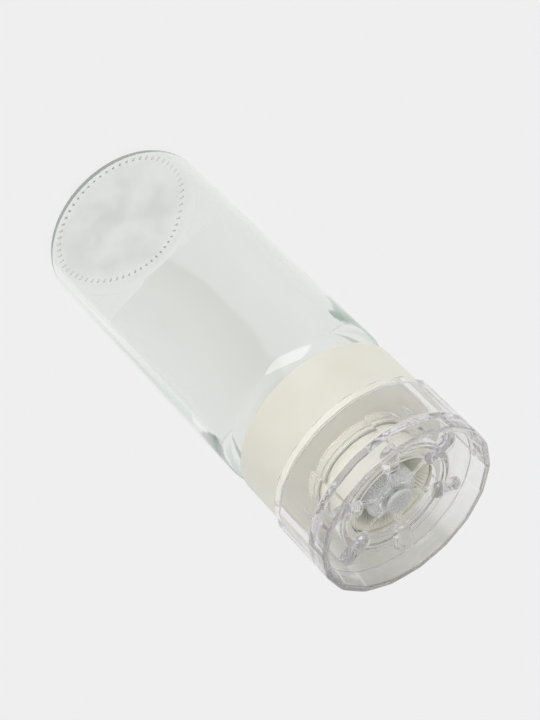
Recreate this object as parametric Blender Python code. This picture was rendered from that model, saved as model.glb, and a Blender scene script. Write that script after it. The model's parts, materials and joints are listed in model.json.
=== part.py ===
"""Spice mill jar: a glass jar with a screw-on grinder, as separate pieces.

Metres, +Z up. The jar stands on its bearing ring at z = 0 and carries the mill on top.
Every piece turns, lifts or screws on the jar's own axis, so every origin is on that axis.
"""
import math

import bmesh
import bpy

# Glass jar
JAR_RADIUS = 0.0250
JAR_WALL = 0.0020
BODY_HEIGHT = 0.0885
HEEL_RADIUS = 0.0036
BEARING_WIDTH = 0.0019
PUSH_UP = 0.0020
FLOOR_THICKNESS = 0.0032
INNER_HEEL_RADIUS = 0.0040
SHOULDER_RADIUS = 0.0068
NECK_WALL = 0.0020
NECK_HEIGHT = 0.0147
NECK_COVE = 0.0008
MOUTH_ROUND = 0.0006
INNER_CORNER = 0.0015
KNURL_COUNT = 60
KNURL_DEPTH = 0.0003
KNURL_WIDTH = 0.0007

# Screw thread between the jar and the collar
THREAD_PITCH = 0.0040
THREAD_TURNS = 1.25
THREAD_FADE_SHARE = 0.06
THREAD_START_RISE = 0.0055
THREAD_SINK = 0.0004
THREAD_FIT = 0.0004
JAR_THREAD_HEIGHT = 0.0015
JAR_THREAD_BASE = 0.0016
COLLAR_THREAD_HEIGHT = 0.0014
COLLAR_THREAD_BASE = 0.0014
THREAD_TIP_SHARE = 0.4

# Clearances
SEAT_GAP = 0.0003
RUNNING_GAP = 0.00035
OVERRUN = 0.0010

# Neck seal
SEAL_THICKNESS = 0.0014
SEAL_OVERHANG = 0.0008

# Collar
THREAD_SKIRT_WALL = 0.0023
THREAD_SKIRT_RISE = 0.0027
SLEEVE_WALL = 0.0015
SLEEVE_SETBACK = 0.0003
SLEEVE_EDGE = 0.0004
DECK_THICKNESS = 0.0015
SPIGOT_WALL = 0.0018
SPIGOT_HEIGHT = 0.0124
SPIGOT_EDGE = 0.0004
LEDGE_RISE = 0.0027
LEDGE_THICKNESS = 0.0010
LEDGE_WIDTH = 0.0019
GROOVE_DEPTH = 0.0010
DETENT_HEIGHT = 0.0003
DETENT_WIDTH = 0.0003

# Retaining ring, which lets the head turn and holds it at a fine or a coarse setting
RING_HEIGHT = 0.0009
RING_RISE = 0.0028
RING_BITE = 0.00035
RING_SPLIT_DEG = 24.0
SET_TRAVEL = 0.00125

# Burrs
CONE_RADIUS = 0.0074
CONE_HEIGHT = 0.0141
CONE_TAIL_RADIUS = 0.0032
CONE_TOOTH_DEPTH = 0.0005
CONE_FACE_RADIUS = 0.0050
CONE_FACE_DROP = 0.0005
COARSE_RIDGE_DEPTH = 0.0009
COARSE_RIDGE_COUNT = 8
COARSE_TWIST_DEG = 50.0
GRIND_GAP = 0.0005
GRIND_LAND = 0.0010
THROAT_WALL = 0.0047
THROAT_RISE = 0.0029
OUTLET_LIP = 0.0005
INLET_LIP = 0.0018
BURR_RECESS = 0.0009
BURR_TOOTH_DEPTH = 0.0006
TOOTH_COUNT = 40

# Grinder head
HEAD_WALL = 0.0015
LIP_WALL = 0.00055
LIP_OVERLAP = 0.0014
LIP_RISE = 0.0006
RIM_RISE = 0.00515
RIM_WALL = 0.0017
RIM_EDGE = 0.0004
RECESS_WALL = 0.0024
WEB_THICKNESS = 0.00165
TUBE_WALL = 0.00155
TUBE_CLEARANCE = 0.0007
STEP_HEIGHT = 0.0006
OPENING_LIP = 0.0005
OPENING_EDGE = 0.0003
FACET_COUNT = 18
FACET_TURN_DEG = 11.5
LUG_COUNT = 6
LUG_TURN_DEG = 10.3
LUG_WIDTH = 0.0052
LUG_HEIGHT = 0.00175
LUG_MARGIN = 0.0017
LUG_OVERHANG = 0.0011
LUG_SINK = 0.0006
SPOKE_WIDTH = 0.0016
SPOKE_DEPTH = 0.0014
SPOKE_RISE = 0.0007
HUB_RADIUS = 0.0045
HUB_PROUD = 0.0001

# Spindle and its clip
PIN_RADIUS = 0.0017
PIN_FIT = 0.0003
PIN_HEAD_RADIUS = 0.0038
PIN_HEAD_HEIGHT = 0.0008
PIN_HEAD_EDGE = 0.0002
PIN_GROOVE_DEPTH = 0.0005
PIN_TAIL = 0.0005
CLIP_THICKNESS = 0.0008
CLIP_RADIUS = 0.0034
CLIP_SPLIT_DEG = 70.0

# Steps round the axis
ROUND_STEPS = 48
FACET_STEPS = 3
PIN_STEPS = 24
DOME_STEPS = 3
CAP_STEPS = 5
CREASE_DEG = 35.0

# Levels of the jar
NECK_RADIUS = JAR_RADIUS - SHOULDER_RADIUS - NECK_COVE
SHOULDER_Z = BODY_HEIGHT + SHOULDER_RADIUS
MOUTH_Z = SHOULDER_Z + NECK_HEIGHT
NECK_BORE = NECK_RADIUS - NECK_WALL
BEARING_OUTER = JAR_RADIUS - HEEL_RADIUS
BEARING_INNER = BEARING_OUTER - BEARING_WIDTH

# Levels and radii of the collar
THREAD_BORE = NECK_RADIUS + JAR_THREAD_HEIGHT + THREAD_FIT
THREAD_SKIRT_OUTER = THREAD_BORE + THREAD_SKIRT_WALL
SLEEVE_OUTER = JAR_RADIUS - SLEEVE_SETBACK
SLEEVE_INNER = SLEEVE_OUTER - SLEEVE_WALL
SEAL_Z = MOUTH_Z + SEAT_GAP
DECK_UNDER_Z = SEAL_Z + SEAL_THICKNESS + SEAT_GAP
DECK_Z = DECK_UNDER_Z + DECK_THICKNESS
SPIGOT_Z = DECK_Z + SPIGOT_HEIGHT
BURR_THROAT = CONE_RADIUS + GRIND_GAP
BURR_OUTER = BURR_THROAT + THROAT_WALL
SPIGOT_BORE = BURR_OUTER + SEAT_GAP
SPIGOT_OUTER = SPIGOT_BORE + SPIGOT_WALL
LEDGE_Z = DECK_Z + LEDGE_RISE

# Levels and radii of the ring, the burrs and the head
RING_Z = DECK_Z + RING_RISE
RING_TOP_Z = RING_Z + RING_HEIGHT
GROOVE_FLOOR = SPIGOT_OUTER - GROOVE_DEPTH
RING_INNER = GROOVE_FLOOR + DETENT_HEIGHT + SEAT_GAP
TUBE_INNER = SPIGOT_OUTER + RUNNING_GAP
TUBE_OUTER = TUBE_INNER + TUBE_WALL
RING_OUTER = TUBE_INNER + RING_BITE
BURR_Z = LEDGE_Z + SEAT_GAP
BURR_TOP_Z = SPIGOT_Z - BURR_RECESS
THROAT_Z = BURR_Z + THROAT_RISE
WEB_UNDER_Z = SPIGOT_Z + SEAT_GAP
WEB_Z = WEB_UNDER_Z + WEB_THICKNESS
RIM_Z = WEB_Z + RIM_RISE
LIP_INNER = SLEEVE_OUTER + RUNNING_GAP
HEAD_APOTHEM = LIP_INNER + LIP_WALL
LIP_Z = DECK_Z - LIP_OVERLAP
OPENING_RADIUS = SPIGOT_BORE - OPENING_LIP
SPOKE_Z = WEB_UNDER_Z + SPOKE_RISE
HUB_Z = SPOKE_Z - HUB_PROUD
HUB_TOP_Z = SPOKE_Z + SPOKE_DEPTH + HUB_PROUD
PIN_BORE = PIN_RADIUS + PIN_FIT
CONE_TOP_Z = HUB_Z - SEAT_GAP
CONE_Z = CONE_TOP_Z - CONE_HEIGHT
CLIP_TOP_Z = CONE_Z - SEAT_GAP
CLIP_Z = CLIP_TOP_Z - CLIP_THICKNESS


def clear_scene():
    """Remove whatever objects the file holds."""
    for item in list(bpy.data.objects):
        bpy.data.objects.remove(item, do_unlink=True)


def finish(name, colour, roughness, alpha=1.0):
    """A Principled material for one piece."""
    material = bpy.data.materials.new(name)
    material.use_nodes = True
    shader = material.node_tree.nodes["Principled BSDF"]
    shader.inputs["Base Color"].default_value = (*colour, 1.0)
    shader.inputs["Roughness"].default_value = roughness
    shader.inputs["Metallic"].default_value = 0.0
    shader.inputs["Alpha"].default_value = alpha
    return material


def add_object(name, bm, material=None):
    """Turn a bmesh into a linked object with its faces pointing out."""
    bmesh.ops.recalc_face_normals(bm, faces=bm.faces)
    mesh = bpy.data.meshes.new(name)
    bm.to_mesh(mesh)
    bm.free()
    item = bpy.data.objects.new(name, mesh)
    bpy.context.scene.collection.objects.link(item)
    if material:
        mesh.materials.append(material)
        mesh.shade_smooth()
        mesh.set_sharp_from_angle(angle=math.radians(CREASE_DEG))
    return item


def combine(target, tool, operation):
    """Join a tool to a piece, or cut it out, with a live Boolean."""
    tool.hide_render = True
    tool.display_type = 'WIRE'
    tool.parent = target
    boolean = target.modifiers.new(tool.name, 'BOOLEAN')
    boolean.operation = operation
    boolean.object = tool


def arc(centre_r, centre_z, radius, start_deg, end_deg, steps):
    """Points of an arc in the turned outline, both ends included."""
    points = []
    for step in range(steps + 1):
        angle = math.radians(start_deg + (end_deg - start_deg) * step / steps)
        points.append((centre_r + radius * math.cos(angle), centre_z + radius * math.sin(angle)))
    return points


def turn_outline(bm, outline, steps, turn_deg=0.0):
    """Sweep an outline round Z. A radius is a length, or a function of the step number."""
    rows = []
    for radius, height in outline:
        if radius == 0:
            rows.append([bm.verts.new((0, 0, height))])
            continue
        row = []
        for step in range(steps):
            angle = math.radians(turn_deg) + math.tau * step / steps
            reach = radius(step) if callable(radius) else radius
            row.append(bm.verts.new((reach * math.cos(angle), reach * math.sin(angle), height)))
        rows.append(row)
    has_poles = len(rows[0]) == 1
    pairs = list(zip(rows, rows[1:])) if has_poles else list(zip(rows, rows[1:] + rows[:1]))
    for lower, upper in pairs:
        for step in range(steps):
            after = (step + 1) % steps
            corners = [lower[step % len(lower)], lower[after % len(lower)],
                       upper[after % len(upper)], upper[step % len(upper)]]
            bm.faces.new(list(dict.fromkeys(corners)))


def turned_piece(name, outline, steps, material=None, turn_deg=0.0):
    """A turned solid as its own object."""
    bm = bmesh.new()
    turn_outline(bm, outline, steps, turn_deg)
    return add_object(name, bm, material)


def sweep_sections(bm, sections):
    """Skin equal rings of points into one closed tube with capped ends."""
    rings = [[bm.verts.new(point) for point in section] for section in sections]
    for ring, following in zip(rings, rings[1:]):
        for index in range(len(ring)):
            after = (index + 1) % len(ring)
            bm.faces.new((ring[index], ring[after], following[after], following[index]))
    bm.faces.new(rings[0])
    bm.faces.new(rings[-1])


def thread_ridge(name, wall, height, base, start_z, inward):
    """A helical ridge on a round wall; both of its ends fade into the wall.

    Its sections stand half a step away from the wall's own corners.
    """
    side = -1 if inward else 1
    steps = round(THREAD_TURNS * ROUND_STEPS)
    first = math.pi / ROUND_STEPS
    sections = []
    for step in range(steps + 1):
        share = step / steps
        turns = THREAD_TURNS * share
        angle = first + math.tau * turns
        level = start_z + THREAD_PITCH * turns
        fade = min(share, 1 - share, THREAD_FADE_SHARE) / THREAD_FADE_SHARE
        root = wall - side * THREAD_SINK
        tip = wall + side * ((height + THREAD_SINK / 2) * fade - THREAD_SINK / 2)
        half_base = base / 2
        half_tip = half_base * THREAD_TIP_SHARE
        section = []
        for radius, lift in ((root, -half_base), (tip, -half_tip), (tip, half_tip), (root, half_base)):
            section.append((radius * math.cos(angle), radius * math.sin(angle), level + lift))
        sections.append(section)
    bm = bmesh.new()
    sweep_sections(bm, sections)
    return add_object(name, bm)


def split_ring(name, inner, outer, bottom, top, split_deg, steps, material):
    """A flat ring with a gap, as a spring ring or clip has."""
    start = math.radians(split_deg) / 2
    sweep = math.tau - 2 * start
    sections = []
    for step in range(steps + 1):
        angle = start + sweep * step / steps
        section = []
        for radius, level in ((inner, bottom), (outer, bottom), (outer, top), (inner, top)):
            section.append((radius * math.cos(angle), radius * math.sin(angle), level))
        sections.append(section)
    bm = bmesh.new()
    sweep_sections(bm, sections)
    return add_object(name, bm, material)


def stadium(inner, outer, half_width, angle, level):
    """A round-ended outline along a radius, at one level."""
    points = []
    ends = ((outer, -90.0), (inner, 90.0))
    for reach, first_deg in ends:
        for step in range(CAP_STEPS + 1):
            bend = math.radians(first_deg + 180.0 * step / CAP_STEPS)
            along = reach + half_width * math.cos(bend)
            across = half_width * math.sin(bend)
            points.append((along * math.cos(angle) - across * math.sin(angle),
                           along * math.sin(angle) + across * math.cos(angle), level))
    return points


def make_jar():
    """Glass jar: domed floor, bearing ring, straight side, round shoulder, threaded neck."""
    dome_shares = (0.0, 0.4, 0.7, 0.9, 1.0)
    outer_floor = [(BEARING_INNER * share, PUSH_UP * (1 - share ** 2)) for share in dome_shares]
    heel = arc(JAR_RADIUS - HEEL_RADIUS, HEEL_RADIUS, HEEL_RADIUS, -90, 0, 4)
    shoulder = arc(JAR_RADIUS - SHOULDER_RADIUS, BODY_HEIGHT, SHOULDER_RADIUS, 0, 90, 6)
    cove = arc(NECK_RADIUS + NECK_COVE, SHOULDER_Z + NECK_COVE, NECK_COVE, 270, 180, 2)
    mouth_out = arc(NECK_RADIUS - MOUTH_ROUND, MOUTH_Z - MOUTH_ROUND, MOUTH_ROUND, 0, 90, 2)
    mouth_in = arc(NECK_BORE + MOUTH_ROUND, MOUTH_Z - MOUTH_ROUND, MOUTH_ROUND, 90, 180, 2)
    inner_radius = JAR_RADIUS - JAR_WALL
    inner_bend = SHOULDER_RADIUS - JAR_WALL
    ceiling = BODY_HEIGHT + inner_bend
    corner = arc(NECK_BORE + INNER_CORNER, ceiling + INNER_CORNER, INNER_CORNER, 180, 270, 2)
    inner_shoulder = arc(inner_radius - inner_bend, BODY_HEIGHT, inner_bend, 90, 0, 4)
    inner_foot = inner_radius - INNER_HEEL_RADIUS
    inner_heel = arc(inner_foot, FLOOR_THICKNESS + INNER_HEEL_RADIUS, INNER_HEEL_RADIUS, 0, -90, 4)
    inner_floor = []
    for share in reversed(dome_shares[:-1]):
        inner_floor.append((inner_foot * share, FLOOR_THICKNESS + PUSH_UP * (1 - share ** 2)))
    outline = (outer_floor + heel + shoulder + cove[1:] + mouth_out + mouth_in + corner
               + inner_shoulder + inner_heel + inner_floor)
    jar = turned_piece("glass_jar", outline, ROUND_STEPS, finish("glass", (0.80, 0.88, 0.82), 0.05, 0.35))
    ridge = thread_ridge("jar_thread", NECK_RADIUS, JAR_THREAD_HEIGHT, JAR_THREAD_BASE,
                         SHOULDER_Z + THREAD_START_RISE, inward=False)
    combine(jar, ridge, 'UNION')
    combine(jar, make_knurl(), 'DIFFERENCE')


def make_knurl():
    """Cutter for the short radial grooves that ring the jar's bearing face."""
    bm = bmesh.new()
    reach = BEARING_WIDTH + 2 * OVERRUN
    middle = (BEARING_INNER + BEARING_OUTER) / 2
    for index in range(KNURL_COUNT):
        angle = math.tau * index / KNURL_COUNT
        made = bmesh.ops.create_cube(bm, size=1.0)["verts"]
        bmesh.ops.scale(bm, vec=(reach, KNURL_WIDTH, 2 * KNURL_DEPTH), verts=made)
        bmesh.ops.translate(bm, vec=(middle, 0, 0), verts=made)
        spin = (math.cos(angle), math.sin(angle))
        for vert in made:
            x, y, z = vert.co
            vert.co = (x * spin[0] - y * spin[1], x * spin[1] + y * spin[0], z)
    return add_object("knurl_cutter", bm)


def make_seal():
    """Soft ring that the collar presses on the mouth of the jar."""
    inner = NECK_BORE - SEAL_OVERHANG
    outer = THREAD_BORE - SEAT_GAP
    top = SEAL_Z + SEAL_THICKNESS
    outline = [(outer, SEAL_Z), (outer, top), (inner, top), (inner, SEAL_Z)]
    turned_piece("neck_seal", outline, ROUND_STEPS, finish("seal", (0.72, 0.71, 0.66), 0.6))


def make_collar():
    """Cream collar: outer sleeve, deck, threaded skirt, and the spigot that carries the head."""
    sleeve_z = SHOULDER_Z + SEAT_GAP
    skirt_z = SHOULDER_Z + THREAD_SKIRT_RISE
    groove_z = RING_Z - SEAT_GAP
    groove_top = RING_TOP_Z + SET_TRAVEL + SEAT_GAP
    detent_z = (RING_Z + RING_TOP_Z + SET_TRAVEL) / 2
    detent = GROOVE_FLOOR + DETENT_HEIGHT
    ledge = SPIGOT_BORE - LEDGE_WIDTH
    outline = [
        (SLEEVE_INNER, sleeve_z), (SLEEVE_OUTER - SLEEVE_EDGE, sleeve_z),
        (SLEEVE_OUTER, sleeve_z + SLEEVE_EDGE), (SLEEVE_OUTER, DECK_Z - SLEEVE_EDGE),
        (SLEEVE_OUTER - SLEEVE_EDGE, DECK_Z), (SPIGOT_OUTER, DECK_Z),
        (SPIGOT_OUTER, groove_z), (GROOVE_FLOOR, groove_z),
        (GROOVE_FLOOR, detent_z - DETENT_WIDTH), (detent, detent_z),
        (GROOVE_FLOOR, detent_z + DETENT_WIDTH), (GROOVE_FLOOR, groove_top),
        (SPIGOT_OUTER, groove_top), (SPIGOT_OUTER, SPIGOT_Z - SPIGOT_EDGE),
        (SPIGOT_OUTER - SPIGOT_EDGE, SPIGOT_Z), (SPIGOT_BORE, SPIGOT_Z),
        (SPIGOT_BORE, LEDGE_Z), (ledge, LEDGE_Z),
        (ledge, LEDGE_Z - LEDGE_THICKNESS), (SPIGOT_BORE, LEDGE_Z - LEDGE_THICKNESS),
        (SPIGOT_BORE, DECK_UNDER_Z), (THREAD_BORE, DECK_UNDER_Z),
        (THREAD_BORE, skirt_z), (THREAD_SKIRT_OUTER, skirt_z),
        (THREAD_SKIRT_OUTER, DECK_UNDER_Z), (SLEEVE_INNER, DECK_UNDER_Z),
    ]
    collar = turned_piece("collar", outline, ROUND_STEPS, finish("cream", (0.81, 0.79, 0.70), 0.35))
    start = SHOULDER_Z + THREAD_START_RISE - THREAD_PITCH / 2
    ridge = thread_ridge("collar_thread", THREAD_BORE, COLLAR_THREAD_HEIGHT, COLLAR_THREAD_BASE,
                         start, inward=True)
    combine(collar, ridge, 'UNION')


def make_burr_ring():
    """Fixed burr: a ring whose hourglass bore is toothed on both sides of its throat."""
    def toothed(valley):
        return lambda step: valley - BURR_TOOTH_DEPTH * (step % 2)

    throat = BURR_THROAT + BURR_TOOTH_DEPTH
    outline = [
        (BURR_OUTER, BURR_Z), (BURR_OUTER, BURR_TOP_Z),
        (toothed(BURR_OUTER - OUTLET_LIP), BURR_TOP_Z),
        (toothed(throat), THROAT_Z + GRIND_LAND), (toothed(throat), THROAT_Z),
        (toothed(BURR_OUTER - INLET_LIP), BURR_Z),
    ]
    turned_piece("burr_ring", outline, 2 * TOOTH_COUNT, finish("burr_cream", (0.80, 0.76, 0.60), 0.4))


def make_retaining_ring():
    """Split spring ring, half in the head's groove and half in the spigot's."""
    split_ring("retaining_ring", RING_INNER, RING_OUTER, RING_Z, RING_TOP_Z, RING_SPLIT_DEG,
               ROUND_STEPS, finish("ring", (0.85, 0.84, 0.78), 0.4))


def make_head():
    """Clear head: flat-sided skirt, open front recess, web, running tube, lugs, spokes and hub."""
    steps = FACET_COUNT * FACET_STEPS

    def flat(apothem):
        half = math.pi / FACET_COUNT
        return lambda step: apothem / math.cos(math.tau * (step % FACET_STEPS) / steps - half)

    rim_inner = HEAD_APOTHEM - RIM_WALL
    recess = HEAD_APOTHEM - RECESS_WALL
    skirt_inner = HEAD_APOTHEM - HEAD_WALL
    lip_top = DECK_Z + LIP_RISE
    tube_z = DECK_Z + TUBE_CLEARANCE
    groove = RING_OUTER + SEAT_GAP
    outline = [
        (flat(HEAD_APOTHEM), LIP_Z), (flat(HEAD_APOTHEM), RIM_Z - RIM_EDGE),
        (flat(HEAD_APOTHEM - RIM_EDGE), RIM_Z), (flat(rim_inner + RIM_EDGE), RIM_Z),
        (flat(rim_inner), RIM_Z - RIM_EDGE), (flat(recess), WEB_Z),
        (TUBE_OUTER, WEB_Z), (TUBE_OUTER, WEB_Z + STEP_HEIGHT),
        (TUBE_INNER, WEB_Z + STEP_HEIGHT), (TUBE_INNER, WEB_Z),
        (OPENING_RADIUS + OPENING_EDGE, WEB_Z), (OPENING_RADIUS, WEB_Z - OPENING_EDGE),
        (OPENING_RADIUS, WEB_UNDER_Z), (TUBE_INNER, WEB_UNDER_Z),
        (TUBE_INNER, RING_TOP_Z + SEAT_GAP), (groove, RING_TOP_Z + SEAT_GAP),
        (groove, RING_Z - SEAT_GAP), (TUBE_INNER, RING_Z - SEAT_GAP),
        (TUBE_INNER, tube_z), (TUBE_OUTER, tube_z),
        (TUBE_OUTER, WEB_UNDER_Z), (flat(skirt_inner), WEB_UNDER_Z),
        (flat(skirt_inner), lip_top), (flat(LIP_INNER), lip_top), (flat(LIP_INNER), LIP_Z),
    ]
    head = turned_piece("grinder_head", outline, steps, finish("clear", (0.88, 0.88, 0.90), 0.08, 0.35),
                        FACET_TURN_DEG)
    combine(head, make_lugs(recess), 'UNION')
    combine(head, make_spokes(), 'UNION')
    hub_outline = [(HUB_RADIUS, HUB_Z), (HUB_RADIUS, HUB_TOP_Z), (PIN_BORE, HUB_TOP_Z), (PIN_BORE, HUB_Z)]
    combine(head, turned_piece("head_hub", hub_outline, PIN_STEPS), 'UNION')


def make_lugs(recess):
    """Domed round-ended lugs that stand on the web and reach in over the opening."""
    bm = bmesh.new()
    half = LUG_WIDTH / 2
    inner = OPENING_RADIUS - LUG_OVERHANG + half
    outer = recess - LUG_MARGIN - half
    for index in range(LUG_COUNT):
        angle = math.radians(LUG_TURN_DEG) + math.tau * index / LUG_COUNT
        sections = [stadium(inner, outer, half, angle, WEB_Z - LUG_SINK)]
        for step in range(DOME_STEPS + 1):
            bend = math.radians(75.0) * step / DOME_STEPS
            level = WEB_Z + LUG_HEIGHT * math.sin(bend) / math.sin(math.radians(75.0))
            sections.append(stadium(inner, outer, half * math.cos(bend), angle, level))
        sweep_sections(bm, sections)
    return add_object("head_lugs", bm)


def make_spokes():
    """Thin arms that run from the hub to the lugs and drive the cone."""
    bm = bmesh.new()
    half = SPOKE_WIDTH / 2
    start = (PIN_BORE + HUB_RADIUS) / 2
    end = OPENING_RADIUS + OVERRUN
    for index in range(LUG_COUNT):
        angle = math.radians(LUG_TURN_DEG) + math.tau * index / LUG_COUNT
        sections = []
        for reach in (start, end):
            section = []
            for across, level in ((-half, SPOKE_Z), (half, SPOKE_Z),
                                  (half, SPOKE_Z + SPOKE_DEPTH), (-half, SPOKE_Z + SPOKE_DEPTH)):
                section.append((reach * math.cos(angle) - across * math.sin(angle),
                                reach * math.sin(angle) + across * math.cos(angle), level))
            sections.append(section)
        sweep_sections(bm, sections)
    return add_object("head_spokes", bm)


def make_cone():
    """Turning burr: finely toothed rim above, coarse twisted ridges on the tapered tail below."""
    steps = 2 * TOOTH_COUNT

    def fine(tip):
        return lambda step: tip - CONE_TOOTH_DEPTH * (step % 2)

    def coarse(crest, share):
        def reach(step):
            angle = math.tau * step / steps + math.radians(COARSE_TWIST_DEG) * share
            wave = 0.5 - 0.5 * math.cos(COARSE_RIDGE_COUNT * angle)
            return crest - COARSE_RIDGE_DEPTH * wave
        return reach

    land_z = THROAT_Z - GRIND_LAND / 2
    outline = [(PIN_BORE, CONE_TOP_Z), (CONE_FACE_RADIUS, CONE_TOP_Z),
               (fine(CONE_RADIUS), CONE_TOP_Z - CONE_FACE_DROP), (fine(CONE_RADIUS), land_z)]
    for share in (0.2, 0.5, 0.75, 1.0):
        crest = CONE_RADIUS + (CONE_TAIL_RADIUS + COARSE_RIDGE_DEPTH / 2 - CONE_RADIUS) * share
        outline.append((coarse(crest, share), land_z + (CONE_Z - land_z) * share))
    outline.append((PIN_BORE, CONE_Z))
    turned_piece("burr_cone", outline, steps, finish("burr_clear", (0.84, 0.85, 0.84), 0.35, 0.6))


def make_spindle():
    """Headed pin that hangs the cone under the hub, with a groove for its clip."""
    head_z = HUB_TOP_Z + SEAT_GAP
    head_top = head_z + PIN_HEAD_HEIGHT
    groove = PIN_RADIUS - PIN_GROOVE_DEPTH
    groove_top = CLIP_TOP_Z + SEAT_GAP
    groove_z = CLIP_Z - SEAT_GAP
    outline = [(0, groove_z - PIN_TAIL), (PIN_RADIUS, groove_z - PIN_TAIL), (PIN_RADIUS, groove_z),
               (groove, groove_z), (groove, groove_top), (PIN_RADIUS, groove_top),
               (PIN_RADIUS, head_z), (PIN_HEAD_RADIUS, head_z),
               (PIN_HEAD_RADIUS, head_top - PIN_HEAD_EDGE),
               (PIN_HEAD_RADIUS - PIN_HEAD_EDGE, head_top), (0, head_top)]
    turned_piece("spindle", outline, PIN_STEPS, finish("pin", (0.80, 0.80, 0.80), 0.3))


def make_clip():
    """Split clip in the spindle's groove, which carries the cone."""
    inner = PIN_RADIUS - PIN_GROOVE_DEPTH + PIN_FIT
    split_ring("cone_clip", inner, CLIP_RADIUS, CLIP_Z, CLIP_TOP_Z, CLIP_SPLIT_DEG,
               PIN_STEPS, finish("clip", (0.70, 0.70, 0.70), 0.4))


def main():
    clear_scene()
    make_jar()
    make_seal()
    make_collar()
    make_burr_ring()
    make_retaining_ring()
    make_head()
    make_cone()
    make_spindle()
    make_clip()


main()
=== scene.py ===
import json
import math

import bpy
import numpy as np
from bpy.props import FloatProperty, FloatVectorProperty, IntProperty, PointerProperty
from bpy.types import Operator, Panel, PropertyGroup
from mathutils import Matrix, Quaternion, Vector

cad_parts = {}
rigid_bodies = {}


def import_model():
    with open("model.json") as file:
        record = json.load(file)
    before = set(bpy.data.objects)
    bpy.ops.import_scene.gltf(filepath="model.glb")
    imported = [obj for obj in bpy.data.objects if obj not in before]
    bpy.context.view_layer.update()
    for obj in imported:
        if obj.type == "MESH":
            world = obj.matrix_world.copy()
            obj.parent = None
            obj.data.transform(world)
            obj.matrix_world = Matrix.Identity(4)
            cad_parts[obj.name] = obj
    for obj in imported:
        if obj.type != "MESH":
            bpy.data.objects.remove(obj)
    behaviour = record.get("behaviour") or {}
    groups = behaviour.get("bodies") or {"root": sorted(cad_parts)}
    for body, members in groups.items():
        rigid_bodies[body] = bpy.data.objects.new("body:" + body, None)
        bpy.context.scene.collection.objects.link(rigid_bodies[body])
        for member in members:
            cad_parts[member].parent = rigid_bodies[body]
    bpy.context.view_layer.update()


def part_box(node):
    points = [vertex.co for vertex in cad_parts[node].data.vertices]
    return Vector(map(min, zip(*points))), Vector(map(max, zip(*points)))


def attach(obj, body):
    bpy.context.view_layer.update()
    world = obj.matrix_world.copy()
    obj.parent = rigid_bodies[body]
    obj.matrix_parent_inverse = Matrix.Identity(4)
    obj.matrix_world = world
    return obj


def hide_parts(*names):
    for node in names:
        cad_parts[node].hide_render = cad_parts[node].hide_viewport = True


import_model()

bl_info = {
    "name": "Spice mill jar",
    "version": (1, 0, 0),
    "blender": (4, 5, 0),
    "location": "3D View > Sidebar > Spice mill",
    "description": "Makes a glass jar with a grinder on its neck, piece by piece, and a small studio",
    "category": "Object",
}

# Extents that the frame gives
JAR_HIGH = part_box("glass_jar")[1]
SEAL_LOW, SEAL_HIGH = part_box("neck_seal")
COLLAR_LOW, COLLAR_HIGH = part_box("collar")
BURR_LOW, BURR_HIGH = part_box("burr_ring")
RING_LOW, RING_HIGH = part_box("retaining_ring")
HEAD_LOW, HEAD_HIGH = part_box("grinder_head")
CONE_LOW, CONE_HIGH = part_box("burr_cone")
PIN_LOW, PIN_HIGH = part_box("spindle")
CLIP_LOW, CLIP_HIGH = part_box("cone_clip")

# How fine the meshes are: columns round the axis, rows, steps along an outline, steps in an arc
EDGE_STEP = 0.00005
FLAT_COLUMNS = 24
DASH_COLUMNS = 7
COLLAR_COLUMNS = 288
TEETH_COLUMNS = 8
PLAIN_COLUMNS = 144
PIN_COLUMNS = 72
LUG_COLUMNS = 56
LUG_ROWS = 13
SPOKE_COLUMNS = 24
SPOKE_ROWS = 6
FLOOR_COLUMNS = 96
FLOOR_ROWS = 24
CARD_POINTS = 13
DISC_ROWS = 12
BEARING_STEP = 0.0003
JAR_THREAD_STEP = 0.0004
COLLAR_THREAD_STEP = 0.00025
RING_TEETH_STEP = 0.00035
CONE_TEETH_STEP = 0.0004
SMALL_STEP = 0.001
COLLAR_STEP = 0.003
LARGE_STEP = 0.004
JAR_ARC = 8
FINE_ARC = 5
PLAIN_ARC = 4
TEETH_ARC = 3
FIRST_SHARE = 0.02
CREASE = math.radians(38.0)

# How fine the patterns of the materials are, in repeats per metre
HAZE_SCALE = 260.0
WAVE_SCALE = 90.0
FRAY_SCALE = 170.0
MOTTLING_SCALE = 70.0
GRAIN_SCALE = 2600.0
FROST_SCALE = 1800.0
CELL_SCALE = 3500.0
PAPER_SCALE = 40.0
CLOUD_SCALE = 85.0
WANDER_SCALE = 22.0

# Waves of the jar's inside wall: how many, share of the depth, start, and turn over the jar's height
WALL_WAVES = ((2, 0.5, 1.3, 2.5), (3, 0.3, -0.7, -3.5), (5, 0.2, 0.4, 5.0))

# Refraction of the glass, the clear, the frosted and the satin plastic
GLASS_IOR = 1.50
CLEAR_IOR = 1.52
FROSTED_IOR = 1.5
SATIN_IOR = 1.48

# Finishes of the satin plastics: the lowest and the highest roughness, and the depth of the grain
COLLAR_FINISH = (0.30, 0.42, 0.000004)
BURR_FINISH = (0.32, 0.45, 0.000004)
SMALL_FINISH = (0.30, 0.45, 0.000003)

# Lowest and highest roughness of the frosted plastic
FROST_ROUGHNESS = (0.14, 0.34)

# Depth of the bumps in the glass, the clear plastic, the frosted plastic and the foam
GLASS_WAVE = 0.00001
CLEAR_WAVE = 0.000012
FROST_DEPTH = 0.000008
CELL_DEPTH = 0.00005

# How bright a second tone is beside the first, where it has no colour of its own
BURR_SHADE = 0.93
SMALL_SHADE = 0.95
FLOOR_SHADE = 0.995
# The foam's second tone is painted shade in the pits of its cells
CELL_SHADE = 0.8

# Between these two lies most of a noise
NOISE_LOW = 0.3
NOISE_HIGH = 0.7

# Light is let out of clear pieces after this many bounces, and followed for so many
CAUGHT_BOUNCES = 11.0
LIGHT_BOUNCES = 40
GLOSSY_BOUNCES = 30

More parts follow.
